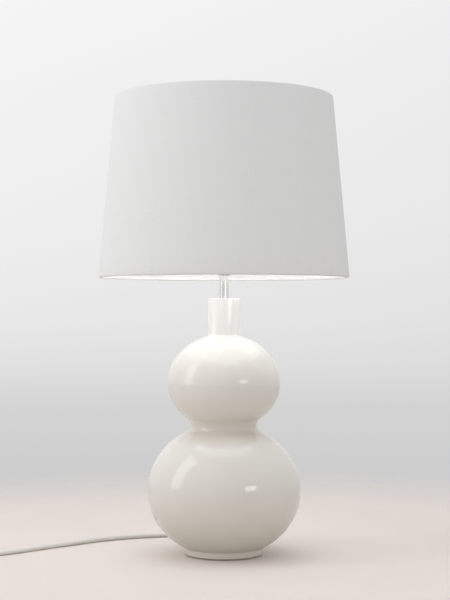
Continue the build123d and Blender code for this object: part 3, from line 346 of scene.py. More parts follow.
# %% Turn the section round the axis, with the flat cut as its UV
def wobble(angle, phase, size):
    """A small, smooth unevenness that closes on itself round the rim."""
    slow, medium = sin(7 * angle + phase), 0.7 * sin(17 * angle + 2.3 * phase)
    quick = 0.5 * sin(41 * angle + phase * phase)
    return size * (slow + medium + quick) / 2.2


roll_wobble, hem_wobble = 0.00005, 0.00008


def turn_cloth(name, section, columns):
    rows = []
    for out, up, run in section:
        row = []
        for c in range(columns):
            angle = tau * c / columns
            on_roll, turned_in = up < 0 or up > wall_length, out < 0
            shift = wobble(angle, up * 900, roll_wobble) if on_roll or turned_in else 0.0
            rise = wobble(angle, 3.0 + up * 300, hem_wobble) if turned_in else 0.0
            radius, height = on_wall(out + shift, up + rise)
            row.append((radius * sin(angle), radius * cos(angle), height))
        rows.append(row)
    piece = skin(name, rows, closed_rows=True)
    flat = piece.data.uv_layers.new(name="flat cut")
    apex = wire_low.x / sin(lean)
    count = len(section)
    for f, polygon in enumerate(piece.data.polygons):
        row, column = divmod(f, columns)
        after = (row + 1) % count
        spots = ((row, column), (row, column + 1), (after, column + 1), (after, column))
        for corner, (r, c) in zip(polygon.loop_indices, spots):
            reach = apex + hem - section[r][2]
            turned = (c / columns - 0.5) * tau * sin(lean)
            flat.data[corner].uv = (reach * sin(turned), reach * cos(turned))
    return piece


shade_cloth = turn_cloth("shade_cloth", cloth_section, 240)
face_outwards(shade_cloth)

# %% [markdown]
# ## The lap at the back of the shade
#
# The cloth's two ends meet at the back under a narrow strip with its long edges folded under. The
# fold makes the strip thicker at its edges than between them, which is what catches the light.

# %% The lap strip
seam_half, seam_thick = 0.006, 0.0004
seam_sunk = 0.00005      # the strip's back, into the cloth


def lap_strip(name, across=13, along=40):
    rows = []
    for k in range(along + 1):
        up = wall_length * k / along
        line = []
        for j in range(across):
            w = (2 * j / (across - 1) - 1)
            fold = min(1.0, (1 - abs(w)) / 0.06)
            height = seam_thick * (0.15 + 0.85 * fold ** 0.5) * (0.82 + 0.18 * (abs(w) > 0.55))
            line.append((w, height))
        line += [(w, -seam_sunk) for w, _ in reversed(line)]
        row = []
        for w, height in line:
            radius, z = on_wall(face_out + height, up)
            angle = (w * seam_half + 0.00012 * sin(up * 210)) / radius
            row.append((radius * sin(angle), radius * cos(angle), z))
        rows.append(row)
    piece = skin(name, rows)
    flat = piece.data.uv_layers.new(name="flat cut")
    for polygon in piece.data.polygons:
        for corner, v in zip(polygon.loop_indices, polygon.vertices):
            place = piece.data.vertices[v].co
            flat.data[corner].uv = (place.x, place.z)
    return piece


lap = lap_strip("shade_lap")
face_outwards(lap)
print("lap strip:", len(lap.data.polygons), "faces")

# %% [markdown]
# ## The felt under the foot
#
# A die-cut felt disc: flat, with a soft, slightly uneven edge.

# %% Felt pad
felt_low, felt_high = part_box("felt_pad")
felt_radius, felt_thick = felt_high.x, felt_high.z - felt_low.z


def felt_disc(name, columns=96):
    profile = [(0.0006, 1.0), (0.5, 1.0), (0.93, 1.0), (0.985, 0.96), (1.0, 0.72), (1.0, 0.3), (0.985, 0.06),
               (0.93, 0.0), (0.5, 0.0), (0.0006, 0.0)]
    rows = []
    for share, level in profile:
        edge = max(0.0, share - 0.9) * 10
        row = []
        for c in range(columns):
            angle = tau * c / columns
            reach = felt_radius * share + wobble(angle, 5 + level, 0.0002) * edge
            row.append((reach * cos(angle), reach * sin(angle), felt_low.z + felt_thick * level))
        rows.append(row)
    return skin(name, rows)


felt = felt_disc("felt_disc")
face_outwards(felt)
print("felt:", round(felt_radius * 2000, 1), "mm across")

# %% [markdown]
# ## Tools for the finishes
#
# Every finish is a node tree. Most of them share a few effects: a fine grain, a woven surface,
# marks left by turning or brushing, smudges from hands, and settled dust. Each effect is built
# once as a node group with named inputs, and put to work in each material with its own numbers.
# A group only hands out masks and heights that change over the surface: the shader itself, and
# every plain number on it, stays in the material.

# %% Small helpers for node trees
def place(tree, kind, inputs=None, **settings):
    """Add a node, give it its settings, and wire or set its inputs by name or number."""
    node = tree.nodes.new(kind)
    for name, value in settings.items():
        setattr(node, name, value)
    for name, value in (inputs or {}).items():
        socket = node.inputs[name]
        if isinstance(value, bpy.types.NodeSocket):
            tree.links.new(value, socket)
        else:
            socket.default_value = value
    return node


def sums(tree, operation, *values):
    return place(tree, "ShaderNodeMath", dict(enumerate(values)), operation=operation).outputs[0]


def arrows(tree, operation, *values, gives=0):
    """Vector maths. The result is output 0, or 1 where it is a single number, as for a length."""
    return place(tree, "ShaderNodeVectorMath", dict(enumerate(values)), operation=operation).outputs[gives]


def noise(tree, vector, scale, detail=2.0, roughness=0.5):
    inputs = {"Vector": vector, "Scale": scale, "Detail": detail, "Roughness": roughness}
    return place(tree, "ShaderNodeTexNoise", inputs).outputs["Fac"]


def between(tree, value, low, high, to_low=0.0, to_high=1.0, how="SMOOTHSTEP"):
    """Stretch a value from low..high to a new range, smoothly if not told otherwise, and hold it beyond."""
    inputs = {"Value": value, "From Min": low, "From Max": high, "To Min": to_low, "To Max": to_high}
    return place(tree, "ShaderNodeMapRange", inputs, interpolation_type=how).outputs["Result"]


def blend_colours(tree, share, first, second, how="MIX"):
    node = place(tree, "ShaderNodeMix", {0: share}, data_type="RGBA", blend_type=how)
    for socket, value in ((node.inputs[6], first), (node.inputs[7], second)):
        if isinstance(value, bpy.types.NodeSocket):
            tree.links.new(value, socket)
        else:
            socket.default_value = (*value, 1.0)
    return node.outputs[2]


def new_effect(name, inputs, outputs):
    """An empty node group with its sockets, and its two end nodes."""
    group = bpy.data.node_groups.new(name, "ShaderNodeTree")
    for label, kind, start in inputs:
        socket = group.interface.new_socket(label, in_out="INPUT", socket_type=kind)
        if start is not None:
            socket.default_value = start
    for label in outputs:
        group.interface.new_socket(label, in_out="OUTPUT", socket_type="NodeSocketFloat")
    return group, group.nodes.new("NodeGroupInput"), group.nodes.new("NodeGroupOutput")


def use_effect(tree, group, **values):
    """Put an effect to work: the names are its inputs, in lower case, with _ for a space."""
    node = tree.nodes.new("ShaderNodeGroup")
    node.node_tree = group
    for socket in node.inputs:
        key = socket.name.lower().replace(" ", "_")
        if key in values:
            if isinstance(values[key], bpy.types.NodeSocket):
                tree.links.new(values[key], socket)
            else:
                socket.default_value = values[key]
    return node


FLOAT, VECTOR = "NodeSocketFloat", "NodeSocketVector"

# %% [markdown]
# ### Fine grain
#
# Moulded plastic, powder coat, felt and card are never quite smooth. Two sizes of noise, one a
# few times finer than the other, give a grain that holds up close and far.

# %% Effect: fine grain
fine_grain, given, result = new_effect(
    "fine grain", [("Place", VECTOR, None), ("Bumps per metre", FLOAT, 800.0), ("Coarse share", FLOAT, 0.5)],
    ["Height", "Tone"])
tree = fine_grain
coarse = noise(tree, given.outputs["Place"], given.outputs["Bumps per metre"], 3.0, 0.55)
finer_scale = sums(tree, "MULTIPLY", given.outputs["Bumps per metre"], 3.7)
finer = noise(tree, given.outputs["Place"], finer_scale, 2.0, 0.6)
apart = sums(tree, "SUBTRACT", coarse, finer)
height = sums(tree, "MULTIPLY_ADD", apart, given.outputs["Coarse share"], finer)
tree.links.new(height, result.inputs["Height"])
patch_scale = sums(tree, "MULTIPLY", given.outputs["Bumps per metre"], 0.06)
patches = noise(tree, given.outputs["Place"], patch_scale, 3.0, 0.6)
tree.links.new(between(tree, patches, 0.3, 0.7), result.inputs["Tone"])
print("effect:", fine_grain.name)

# %% [markdown]
# ### Plain weave
#
# In a plain weave each thread goes over one and under the next. If one direction's threads are
# drawn as the size of a sine wave, |sin|, and pushed up or down by the product of both sines, the
# crossings come out right: the higher thread of the two is the one on top. Each thread also has
# its own thickness and shade along its length, which is what makes cloth look like cloth.

# %% Effect: plain weave
plain_weave, given, result = new_effect(
    "plain weave", [("Flat place", VECTOR, None), ("Threads per metre", FLOAT, 1100.0), ("Slub", FLOAT, 0.5)],
    ["Height", "Thread tone", "Gap"])
tree = plain_weave
counted = arrows(tree, "SCALE", given.outputs["Flat place"])
tree.links.new(given.outputs["Threads per metre"], counted.node.inputs["Scale"])
waver = noise(tree, given.outputs["Flat place"], 45.0, 2.0)
slub_wander = sums(tree, "MULTIPLY", given.outputs["Slub"], 0.9)
wander = sums(tree, "MULTIPLY", sums(tree, "SUBTRACT", waver, 0.5), slub_wander)
spread = place(tree, "ShaderNodeCombineXYZ", {0: wander, 1: wander})
threads = place(tree, "ShaderNodeSeparateXYZ", {0: arrows(tree, "ADD", counted, spread.outputs[0])})
warp_at, weft_at = threads.outputs[0], threads.outputs[1]
warp_wave = sums(tree, "SINE", sums(tree, "MULTIPLY", warp_at, pi))
weft_wave = sums(tree, "SINE", sums(tree, "MULTIPLY", weft_at, pi))
crossing = sums(tree, "MULTIPLY", warp_wave, weft_wave)
warp_top = sums(tree, "ADD", sums(tree, "ABSOLUTE", warp_wave), crossing)
weft_top = sums(tree, "SUBTRACT", sums(tree, "ABSOLUTE", weft_wave), crossing)
highest = sums(tree, "MULTIPLY", sums(tree, "MAXIMUM", warp_top, weft_top), 0.5)
warp_on_top = sums(tree, "GREATER_THAN", warp_top, weft_top)


def thread_life(across, along):
    """A value of its own for each thread, changing slowly along it."""
    numbered = sums(tree, "MULTIPLY", sums(tree, "FLOOR", across), 7.31)
    where = place(tree, "ShaderNodeCombineXYZ", {0: numbered, 1: sums(tree, "MULTIPLY", along, 0.035)})
    return noise(tree, where.outputs[0], 1.0, 2.0)


warp_life, weft_life = thread_life(warp_at, weft_at), thread_life(weft_at, warp_at)
life_apart = sums(tree, "SUBTRACT", warp_life, weft_life)
life = sums(tree, "MULTIPLY_ADD", life_apart, warp_on_top, weft_life)
life = between(tree, life, 0.25, 0.75)
slub_height = sums(tree, "MULTIPLY", given.outputs["Slub"], 0.4)
thicker = sums(tree, "MULTIPLY", sums(tree, "SUBTRACT", life, 0.5), slub_height)
tree.links.new(sums(tree, "ADD", highest, thicker), result.inputs["Height"])
tree.links.new(life, result.inputs["Thread tone"])
tree.links.new(between(tree, highest, 0.25, 0.6, 1.0, 0.0), result.inputs["Gap"])
print("effect:", plain_weave.name)

# %% [markdown]
# ### Turning marks
#
# Metal that was spun or brushed on a lathe has very fine scratches round its axis. Noise that is
# stretched out sideways and squeezed along the axis gives them: the streaks run round the piece
# and change quickly up it.

# %% Effect: turning marks
turning_marks, given, result = new_effect(
    "turning marks", [("Place", VECTOR, None), ("Marks per metre", FLOAT, 3000.0)], ["Height", "Tone"])
tree = turning_marks
split = place(tree, "ShaderNodeSeparateXYZ", {0: given.outputs["Place"]})
round_x = sums(tree, "MULTIPLY", split.outputs[0], 60.0)
round_y = sums(tree, "MULTIPLY", split.outputs[1], 60.0)
up = sums(tree, "MULTIPLY", split.outputs[2], given.outputs["Marks per metre"])
squeezed = place(tree, "ShaderNodeCombineXYZ", {0: round_x, 1: round_y, 2: up}).outputs[0]
marks = noise(tree, squeezed, 1.0, 4.0, 0.7)
tree.links.new(marks, result.inputs["Height"])
tree.links.new(between(tree, noise(tree, squeezed, 0.13, 3.0), 0.3, 0.7), result.inputs["Tone"])
print("effect:", turning_marks.name)

# %% [markdown]
# ### Smudges and dust
#
# Hands leave soft patches where a polished surface is a little less sharp. Dust settles on what
# faces up. Both are masks: each material decides what they do to its roughness or its colour.

# %% Effect: hand marks
hand_marks, given, result = new_effect(
    "hand marks", [("Place", VECTOR, None), ("Patches per metre", FLOAT, 25.0)], ["Smudge"])
tree = hand_marks
soft = noise(tree, given.outputs["Place"], given.outputs["Patches per metre"], 3.0, 0.55)
streak_scale = sums(tree, "MULTIPLY", given.outputs["Patches per metre"], 9.0)
streaky = noise(tree, given.outputs["Place"], streak_scale, 2.0)
both = sums(tree, "MULTIPLY_ADD", sums(tree, "SUBTRACT", streaky, 0.5), 0.25, soft)
tree.links.new(between(tree, both, 0.45, 0.72), result.inputs["Smudge"])
print("effect:", hand_marks.name)

# %% Effect: settled dust
settled_dust, given, result = new_effect(
    "settled dust", [("Place", VECTOR, None), ("Specks per metre", FLOAT, 900.0)], ["Dust"])
tree = settled_dust
facing = place(tree, "ShaderNodeNewGeometry")
upright = place(tree, "ShaderNodeSeparateXYZ", {0: facing.outputs["Normal"]})
flat_top = between(tree, upright.outputs[2], 0.35, 0.98)
speckled = noise(tree, given.outputs["Place"], given.outputs["Specks per metre"], 3.0, 0.7)
specks = between(tree, speckled, 0.42, 0.7)
drifts = between(tree, noise(tree, given.outputs["Place"], 18.0, 2.0), 0.3, 0.75)
settled = sums(tree, "MULTIPLY", flat_top, sums(tree, "MULTIPLY", specks, drifts))
tree.links.new(settled, result.inputs["Dust"])
print("effect:", settled_dust.name)

# %% [markdown]
# ### Which way a surface faces
#
# The lamp is round, so the normal tells which side of a wall a spot is on: it points straight
# away from the axis where this effect gives 1, up or down at 0, and at the axis at -1.

# %% Effect: facing away from the axis
facing_away, given, result = new_effect(
    "facing away", [("Place", VECTOR, None), ("Facing", VECTOR, None)], ["Away"])
tree = facing_away
split = place(tree, "ShaderNodeSeparateXYZ", {0: given.outputs["Place"]})
outward = place(tree, "ShaderNodeCombineXYZ", {0: split.outputs[0], 1: split.outputs[1]}).outputs[0]
own_facing = place(tree, "ShaderNodeVectorTransform", {0: given.outputs["Facing"]}, vector_type="NORMAL",
                   convert_from="WORLD", convert_to="OBJECT").outputs[0]
away = arrows(tree, "DOT_PRODUCT", own_facing, arrows(tree, "NORMALIZE", outward), gives=1)
tree.links.new(away, result.inputs["Away"])
print("effect:", facing_away.name)

# %% [markdown]
# ## A finish, from start to end
#
# Each material starts the same way: a Principled shader with its plain numbers set on its own
# sockets, and the object's own coordinates, in metres, so that a pattern has its true size and
# goes with the piece when it moves.

# %% How a material is started and ended
def new_finish(name, colour, roughness, metallic=0.0, **plain):
    """A material with one Principled shader. Also gives its tree, the shader and the place on the piece."""
    material = bpy.data.materials.new(name)
    material.use_nodes = True
    tree = material.node_tree
    shader = tree.nodes["Principled BSDF"]
    shader.inputs["Base Color"].default_value = (*colour, 1.0)
    shader.inputs["Roughness"].default_value = roughness
    shader.inputs["Metallic"].default_value = metallic
    for label, value in plain.items():
        shader.inputs[label.replace("_", " ")].default_value = value
    where = place(tree, "ShaderNodeTexCoord").outputs["Object"]
    return material, tree, shader, where


def raise_surface(tree, shader, height, distance, strength=1.0):
    bump = place(tree, "ShaderNodeBump", {"Height": height, "Distance": distance, "Strength": strength})
    tree.links.new(bump.outputs["Normal"], shader.inputs["Normal"])


def roughness_from(tree, shader, share, low, high):
    tree.links.new(between(tree, share, 0.0, 1.0, low, high), shader.inputs["Roughness"])


finishes = {}

# %% [markdown]
# ### The glaze
#
# A thick, glossy, warm off-white glaze over a pale stoneware. Glaze flows a little before it
# sets, so its surface undulates slowly and the reflections of lamps swim; under that it has the
# faintest orange peel. In the waist and in the crease over the foot it is painted darker and
# warmer: painted shade. On the straight neck it is painted whiter: painted light from the lit
# shade above. It is wiped off under the foot ring and absent inside, where the bare clay shows.

# %% Finish: glaze
glaze, tree, shader, where = new_finish("glaze", (0.815, 0.785, 0.74), 0.07, IOR=1.62)
glaze_light, glaze_dark = (0.820, 0.790, 0.746), (0.806, 0.774, 0.728)
# The painted shade colour for the waist and crease, the painted light colour for the neck, and the iron
# specks' own colour.
glaze_painted_shade, glaze_painted_light, iron_speck = (0.69, 0.63, 0.555), (0.850, 0.846, 0.824), (0.45, 0.38, 0.30)
clay_dark, clay_light = (0.60, 0.53, 0.44), (0.68, 0.61, 0.52)
foot_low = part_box("ceramic_body")[0].z
crease_height, waist_height, neck_height = foot_low + 0.011, 0.1785, 0.312
height_up = place(tree, "ShaderNodeSeparateXYZ", {0: where}).outputs[2]
clouds = between(tree, noise(tree, where, 14.0, 3.0, 0.55), 0.3, 0.7)
tone = blend_colours(tree, clouds, glaze_light, glaze_dark)


def near_height(tree, height, middle, reach, most=1.0):
    """A mask that is at its most at one height and fades out to nothing within reach of it."""
    off = sums(tree, "ABSOLUTE", sums(tree, "SUBTRACT", height, middle))
    return between(tree, off, 0.0, reach, most, 0.0)


# Painted shade: the waist and the crease over the foot are painted darker and warmer.
crease_painted_shade = near_height(tree, height_up, crease_height, 0.004, 0.3)
waist_painted_shade = near_height(tree, height_up, waist_height, 0.022)
painted_shade_share = sums(tree, "MULTIPLY", sums(tree, "MAXIMUM", crease_painted_shade, waist_painted_shade), 0.8)
tone = blend_colours(tree, painted_shade_share, tone, glaze_painted_shade)
# Painted light: the neck, under the lit shade, is painted whiter.
neck_painted_light = between(tree, height_up, neck_height - 0.004, neck_height + 0.004)
tone = blend_colours(tree, neck_painted_light, tone, glaze_painted_light)
specks = between(tree, noise(tree, where, 620.0, 2.0), 0.80, 0.86)
tone = blend_colours(tree, sums(tree, "MULTIPLY", specks, 0.35), tone, iron_speck)
facing = place(tree, "ShaderNodeNewGeometry").outputs["Normal"]
away = use_effect(tree, facing_away, place=where, facing=facing).outputs["Away"]
inside = sums(tree, "LESS_THAN", away, -0.01)
glaze_line = sums(tree, "MULTIPLY_ADD", noise(tree, where, 55.0, 2.0), 0.0012, foot_low + 0.0004)
under_foot = sums(tree, "LESS_THAN", height_up, glaze_line)
bare = sums(tree, "MAXIMUM", inside, under_foot)
grit = use_effect(tree, fine_grain, place=where, bumps_per_metre=1400.0, coarse_share=0.5)
clay = blend_colours(tree, grit.outputs["Tone"], clay_dark, clay_light)
tree.links.new(blend_colours(tree, bare, tone, clay), shader.inputs["Base Color"])
smudge = use_effect(tree, hand_marks, place=where, patches_per_metre=22.0)
shine = between(tree, smudge.outputs["Smudge"], 0.0, 1.0, 0.05, 0.085)
dull = sums(tree, "SUBTRACT", 0.85, shine)
tree.links.new(sums(tree, "MULTIPLY_ADD", bare, dull, shine), shader.inputs["Roughness"])
flow, peel = noise(tree, where, 26.0, 1.0), noise(tree, where, 520.0, 2.0)
relief = sums(tree, "MULTIPLY_ADD", peel, 0.012, flow)
clay_relief = sums(tree, "MULTIPLY", bare, grit.outputs["Height"])
raise_surface(tree, shader, sums(tree, "MULTIPLY_ADD", clay_relief, 0.25, relief), 0.0004)
finishes["glaze"] = glaze
print("finish:", glaze.name)

# %% [markdown]
# ### The shade's cloth
#
# A fine white plain weave, laminated flat, so the cloth has almost no relief: what shows is the
# threads' own slight difference in tone. The pattern is laid out on the flat cut, so its threads
# lean as the cut does. Cloth scatters light at grazing angles, which the sheen adds. Where the
# cloth is turned in over the ring wires, it is painted whiter: painted light from the lit inside
# of the shade.

# %% Finish: shade cloth
def shaded(colour, share):
    """A colour made lighter or darker, and no lighter than white."""
    return tuple(min(1.0, c * share) for c in colour)


def cloth_finish(name, colour, shadow, hem_painted_light):
    material, tree, shader, where = new_finish(name, colour, 0.88, IOR=1.45, Sheen_Weight=0.12,
                                               Sheen_Roughness=0.45)
    flat = place(tree, "ShaderNodeUVMap", uv_map="flat cut").outputs[0]
    weave = use_effect(tree, plain_weave, flat_place=flat, threads_per_metre=1250.0, slub=0.45)
    tone = blend_colours(tree, weave.outputs["Thread tone"], shaded(colour, 0.965), shaded(colour, 1.02))
    tone = blend_colours(tree, sums(tree, "MULTIPLY", weave.outputs["Gap"], 0.35), tone, shadow)
    cloudy = between(tree, noise(tree, where, 11.0, 2.0), 0.3, 0.7, 0.0, 0.35)
    tone = blend_colours(tree, cloudy, tone, shaded(colour, 0.97))
    facing = place(tree, "ShaderNodeNewGeometry").outputs["True Normal"]
    away = use_effect(tree, facing_away, place=where, facing=facing).outputs["Away"]
    # Painted light: the turned-in hem is painted whiter, as if lit from inside the shade.
    turned_in = between(tree, away, -0.1, 0.7, 1.0, 0.0)
    tone = blend_colours(tree, turned_in, tone, hem_painted_light)
    tree.links.new(tone, shader.inputs["Base Color"])
    raise_surface(tree, shader, weave.outputs["Height"], 0.00012, 0.7)
    return material


finishes["shade_fabric"] = cloth_finish("shade_cloth", (0.872, 0.875, 0.879), shadow=(0.72, 0.72, 0.72),
                                        hem_painted_light=(0.96, 0.955, 0.95))
print("finish:", finishes["shade_fabric"].name)

# %% [markdown]
# ### Plastics, paint and card
#
# The remaining pale and dark pieces differ in colour, gloss and the size of their grain, so one
# short recipe serves them all: a base colour that drifts slightly, a roughness that drifts with
# it, and a grain of the right size. Powder coat has the orange peel of paint that was melted on,
# a cord's PVC is drawn smooth, and a plug is moulded with a sparked, matt texture.

# %% Finish: moulded, painted and pressed pieces
dust_colour = (0.55, 0.53, 0.50)


def grained_finish(slot, colour, roughness, grain, relief, drift=0.03, **plain):
    material, tree, shader, where = new_finish(slot, colour, roughness, **plain)
    effect = use_effect(tree, fine_grain, place=where, bumps_per_metre=grain, coarse_share=0.6)
    darker, lighter = shaded(colour, 1 - drift), shaded(colour, 1 + drift * 0.6)
    tone = blend_colours(tree, effect.outputs["Tone"], darker, lighter)
    dust = use_effect(tree, settled_dust, place=where)
    most_dust = 0.02 if max(colour) > 0.5 else 0.10   # it shows less on pale pieces
    tone = blend_colours(tree, sums(tree, "MULTIPLY", dust.outputs["Dust"], most_dust), tone, dust_colour)
    tree.links.new(tone, shader.inputs["Base Color"])
    smudge = use_effect(tree, hand_marks, place=where, patches_per_metre=40.0)
    roughness_from(tree, shader, smudge.outputs["Smudge"], roughness * 0.9, min(1.0, roughness * 1.15 + 0.02))
    raise_surface(tree, shader, effect.outputs["Height"], relief)
    finishes[slot] = material
    return material


grained_finish("felt", (0.60, 0.58, 0.54), 0.97, 1600.0, 0.0004, 0.14, Sheen_Weight=0.3)
grained_finish("gasket_rubber", (0.045, 0.045, 0.045), 0.72, 900.0, 0.00008, 0.10)
grained_finish("liner_card", (0.43, 0.36, 0.26), 0.90, 1500.0, 0.00010, 0.16)
grained_finish("black_phenolic", (0.022, 0.021, 0.020), 0.34, 1500.0, 0.00003, 0.12)
grained_finish("conductor_pvc", (0.70, 0.70, 0.68), 0.42, 1200.0, 0.00003)
grained_finish("black_glass", (0.018, 0.018, 0.022), 0.10, 500.0, 0.00002, 0.10)
grained_finish("bulb_plastic", (0.83, 0.83, 0.81), 0.36, 1800.0, 0.00002)
grained_finish("led_board", (0.80, 0.80, 0.78), 0.42, 1500.0, 0.00002)
grained_finish("driver_board", (0.045, 0.23, 0.11), 0.38, 900.0, 0.00003, 0.15)
grained_finish("shade_styrene", (0.88, 0.88, 0.865), 0.46, 350.0, 0.00004, 0.01)
grained_finish("white_wire", (0.82, 0.82, 0.80), 0.38, 850.0, 0.00010)
grained_finish("cord_pvc", (0.86, 0.845, 0.82), 0.40, 1100.0, 0.00003, 0.02)
grained_finish("tie_plastic", (0.80, 0.80, 0.78), 0.45, 1300.0, 0.00004)
grained_finish("plug_pvc", (0.79, 0.775, 0.745), 0.50, 2200.0, 0.00007)
print("grained finishes:", len(finishes))

# %% [markdown]
# ### Metals
#
# The short tube over the neck, the ring on it and the finial are polished nickel, and the harp,
# its saddle and the socket are satin nickel. Both are real metals, metallic 1, and differ in how
# deep their turning marks are. The ring's nickel is painted darker: painted shade, where the
# ring sits under the shade's rim. Hidden steel parts are zinc plated, which is a duller, patchy
# grey, and the contacts are plain brass, a little tarnished.

# %% Finish: metals
def metal_finish(slot, colour, roughness, marks, relief, tarnish=0.04, smudged=0.08, patches=40.0):
    material, tree, shader, where = new_finish(slot, colour, roughness, 1.0)
    turned = use_effect(tree, turning_marks, place=where, marks_per_metre=marks)
    grain = use_effect(tree, fine_grain, place=where, bumps_per_metre=patches * 10, coarse_share=0.5)
    darker = shaded(colour, 1 - tarnish)
    tone = blend_colours(tree, turned.outputs["Tone"], colour, darker)
    tone = blend_colours(tree, sums(tree, "MULTIPLY", grain.outputs["Tone"], 0.5), tone, darker)
    tree.links.new(tone, shader.inputs["Base Color"])
    smudge = use_effect(tree, hand_marks, place=where, patches_per_metre=patches)
    roughness_from(tree, shader, smudge.outputs["Smudge"], roughness, roughness + smudged)
    raise_surface(tree, shader, turned.outputs["Height"], relief)
    finishes[slot] = material
    return material


nickel = metal_finish("polished_nickel", (0.74, 0.73, 0.71), 0.27, 2500.0, 0.000002, 0.03, 0.06)
metal_finish("brushed_nickel", (0.66, 0.64, 0.61), 0.24, 5200.0, 0.000020, 0.06, 0.10)
metal_finish("zinc_steel", (0.60, 0.61, 0.62), 0.36, 900.0, 0.000010, 0.16, 0.16, 120.0)
metal_finish("contact_brass", (0.74, 0.58, 0.34), 0.24, 2500.0, 0.000008, 0.20, 0.18, 90.0)
metal_finish("bulb_cap_metal", (0.76, 0.76, 0.76), 0.20, 3500.0, 0.000006, 0.05, 0.10)

# Painted shade: the ring, under the shade's rim, is painted darker.
tree = nickel.node_tree
ring_low, ring_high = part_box("check_ring")
half_ring = (ring_high.z - ring_low.z) / 2
own_place = place(tree, "ShaderNodeTexCoord").outputs["Object"]
height_up = place(tree, "ShaderNodeSeparateXYZ", {0: own_place}).outputs[2]
off_ring = sums(tree, "ABSOLUTE", sums(tree, "SUBTRACT", height_up, ring_low.z + half_ring))
ring_painted_shade = between(tree, off_ring, half_ring, half_ring + 0.0001, 1.0, 0.0)
nickel_colour = tree.nodes["Principled BSDF"].inputs["Base Color"]
nickel_painted_shade = (0.36, 0.355, 0.34)
tone = blend_colours(tree, ring_painted_shade, nickel_colour.links[0].from_socket, nickel_painted_shade)
tree.links.new(tone, nickel_colour)
print("metals:", [slot for slot, material in finishes.items()
                  if material.node_tree.nodes["Principled BSDF"].inputs["Metallic"].default_value == 1.0])

# %% [markdown]
# ### The lit bulb
#
# The lamp is on. The opal dome gives an even, neutral light, so it is an emitter with a satin
# skin. It is kept low enough for the wires inside the shade to show in a picture from above.
# The yellow chips on the board under it glow too, though the dome hides them.

# %% Finish: lit dome and chips
def lit_finish(slot, colour, light, strength, roughness):
    material = grained_finish(slot, colour, roughness, 900.0, 0.00001, 0.01)
    shader = material.node_tree.nodes["Principled BSDF"]
    shader.inputs["Emission Color"].default_value = (*light, 1.0)
    shader.inputs["Emission Strength"].default_value = strength
    return material


dome_light, chip_light = (0.98, 1.0, 1.04), (1.0, 0.93, 0.70)
lit_finish("lit_diffuser", (0.93, 0.92, 0.89), dome_light, 14.0, 0.32)
lit_finish("led_phosphor", (0.90, 0.75, 0.25), chip_light, 6.0, 0.35)
print("finishes in all:", len(finishes))

# %% [markdown]
# ## Dress every piece
#
# The record says which finish each solid takes. The five pieces that were modelled here stand
# for soft solids, which are hidden, and they take the finish of the solid they stand for.

# %% Give every solid its finish
for entry in frame["record"]["subparts"]:
    solid = nodes[entry["node"]]
    solid.data.materials.clear()
    solid.data.materials.append(finishes[entry["material_slot"]])

# %% Put the modelled pieces in their places
for piece, body, stands_for, slot in (
    (mains_lead, "base", ("cord_lead", "cord_coil", "cord_tail"), "cord_pvc"),
    (cable_strap, "base", ("cord_tie",), "tie_plastic"),
    (felt, "base", ("felt_pad",), "felt"),
    (shade_cloth, "shade", ("shade_cover",), "shade_fabric"),
    (lap, "shade", ("shade_seam",), "shade_fabric"),
):
    piece.data.materials.append(finishes[slot])
    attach(piece, body)
    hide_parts(*stands_for)
    print(piece.name, "rides on", body, "and stands for", ", ".join(stands_for))

# %% [markdown]
# ## The studio
#
# The lamp stands on a pale, faintly pink table top in front of a light grey sweep that is
# brightest at the top. The table top is a disc that fades out towards its rim, so its edge is as
# soft as in a shallow-focus picture, and what lies beyond it is the world's colour.
#
# Seen straight or mirrored, the table top has its own pale colour. For the light that it throws
# back up at the lamp it has one darker, warmer colour, the same all over, because a real table
# stands among dark things that this empty room lacks.
#
# The world does two jobs. To the object it is a plain light, at a level where colours render
# about as they are written, and it leans a little to the left. To the camera, and to what metal
# and glass reflect, it is the sweep. For reflections it is a little darker on the camera's side
# of the room, so that polished metal has something to show.

# %% The table top
def table_top(name, radius, rings=24, columns=96):
    reaches = [radius * (0.002 + 0.998 * k / rings) for k in range(rings + 1)]
    rows = [[(reach * cos(tau * c / columns), reach * sin(tau * c / columns), 0.0) for c in range(columns)]
            for reach in reaches]
    mesh = bpy.data.meshes.new(name)
    corners = [p for row in rows for p in row] + [(0.0, 0.0, 0.0)]
    centre = len(corners) - 1
    faces = [(centre, c, (c + 1) % columns) for c in range(columns)]
    for k in range(rings):
        for c in range(columns):
            d = (c + 1) % columns
            faces.append((k * columns + c, (k + 1) * columns + c, (k + 1) * columns + d, k * columns + d))
    mesh.from_pydata(corners, [], faces)
    mesh.update()
    piece = bpy.data.objects.new(name, mesh)
    scene.collection.objects.link(piece)
    return piece


table = table_top("table_top", 1.3)
table_paint = bpy.data.materials.new("table_top")
table_paint.use_nodes = True
tree = table_paint.node_tree
shader = tree.nodes["Principled BSDF"]
shader.inputs["Roughness"].default_value = 0.75
shader.inputs["Specular IOR Level"].default_value = 0.15
table_dark, table_light, table_bounce = (0.885, 0.808, 0.768), (0.897, 0.822, 0.783), (0.58, 0.525, 0.455)
fade_start, fade_end = 0.55, 1.15   # metres from the lamp
where = place(tree, "ShaderNodeTexCoord").outputs["Object"]
mottled = between(tree, noise(tree, where, 9.0, 3.0), 0.3, 0.7)
from_lamp = arrows(tree, "LENGTH", where, gives=1)
path = place(tree, "ShaderNodeLightPath")
looked_at = sums(tree, "MAXIMUM", path.outputs["Is Camera Ray"], path.outputs["Is Glossy Ray"])
looked_at = sums(tree, "MAXIMUM", looked_at, path.outputs["Is Transmission Ray"])
pale = blend_colours(tree, mottled, table_dark, table_light)
tree.links.new(blend_colours(tree, looked_at, table_bounce, pale), shader.inputs["Base Color"])
faded = between(tree, from_lamp, fade_start, fade_end)
underneath = place(tree, "ShaderNodeNewGeometry").outputs["Backfacing"]
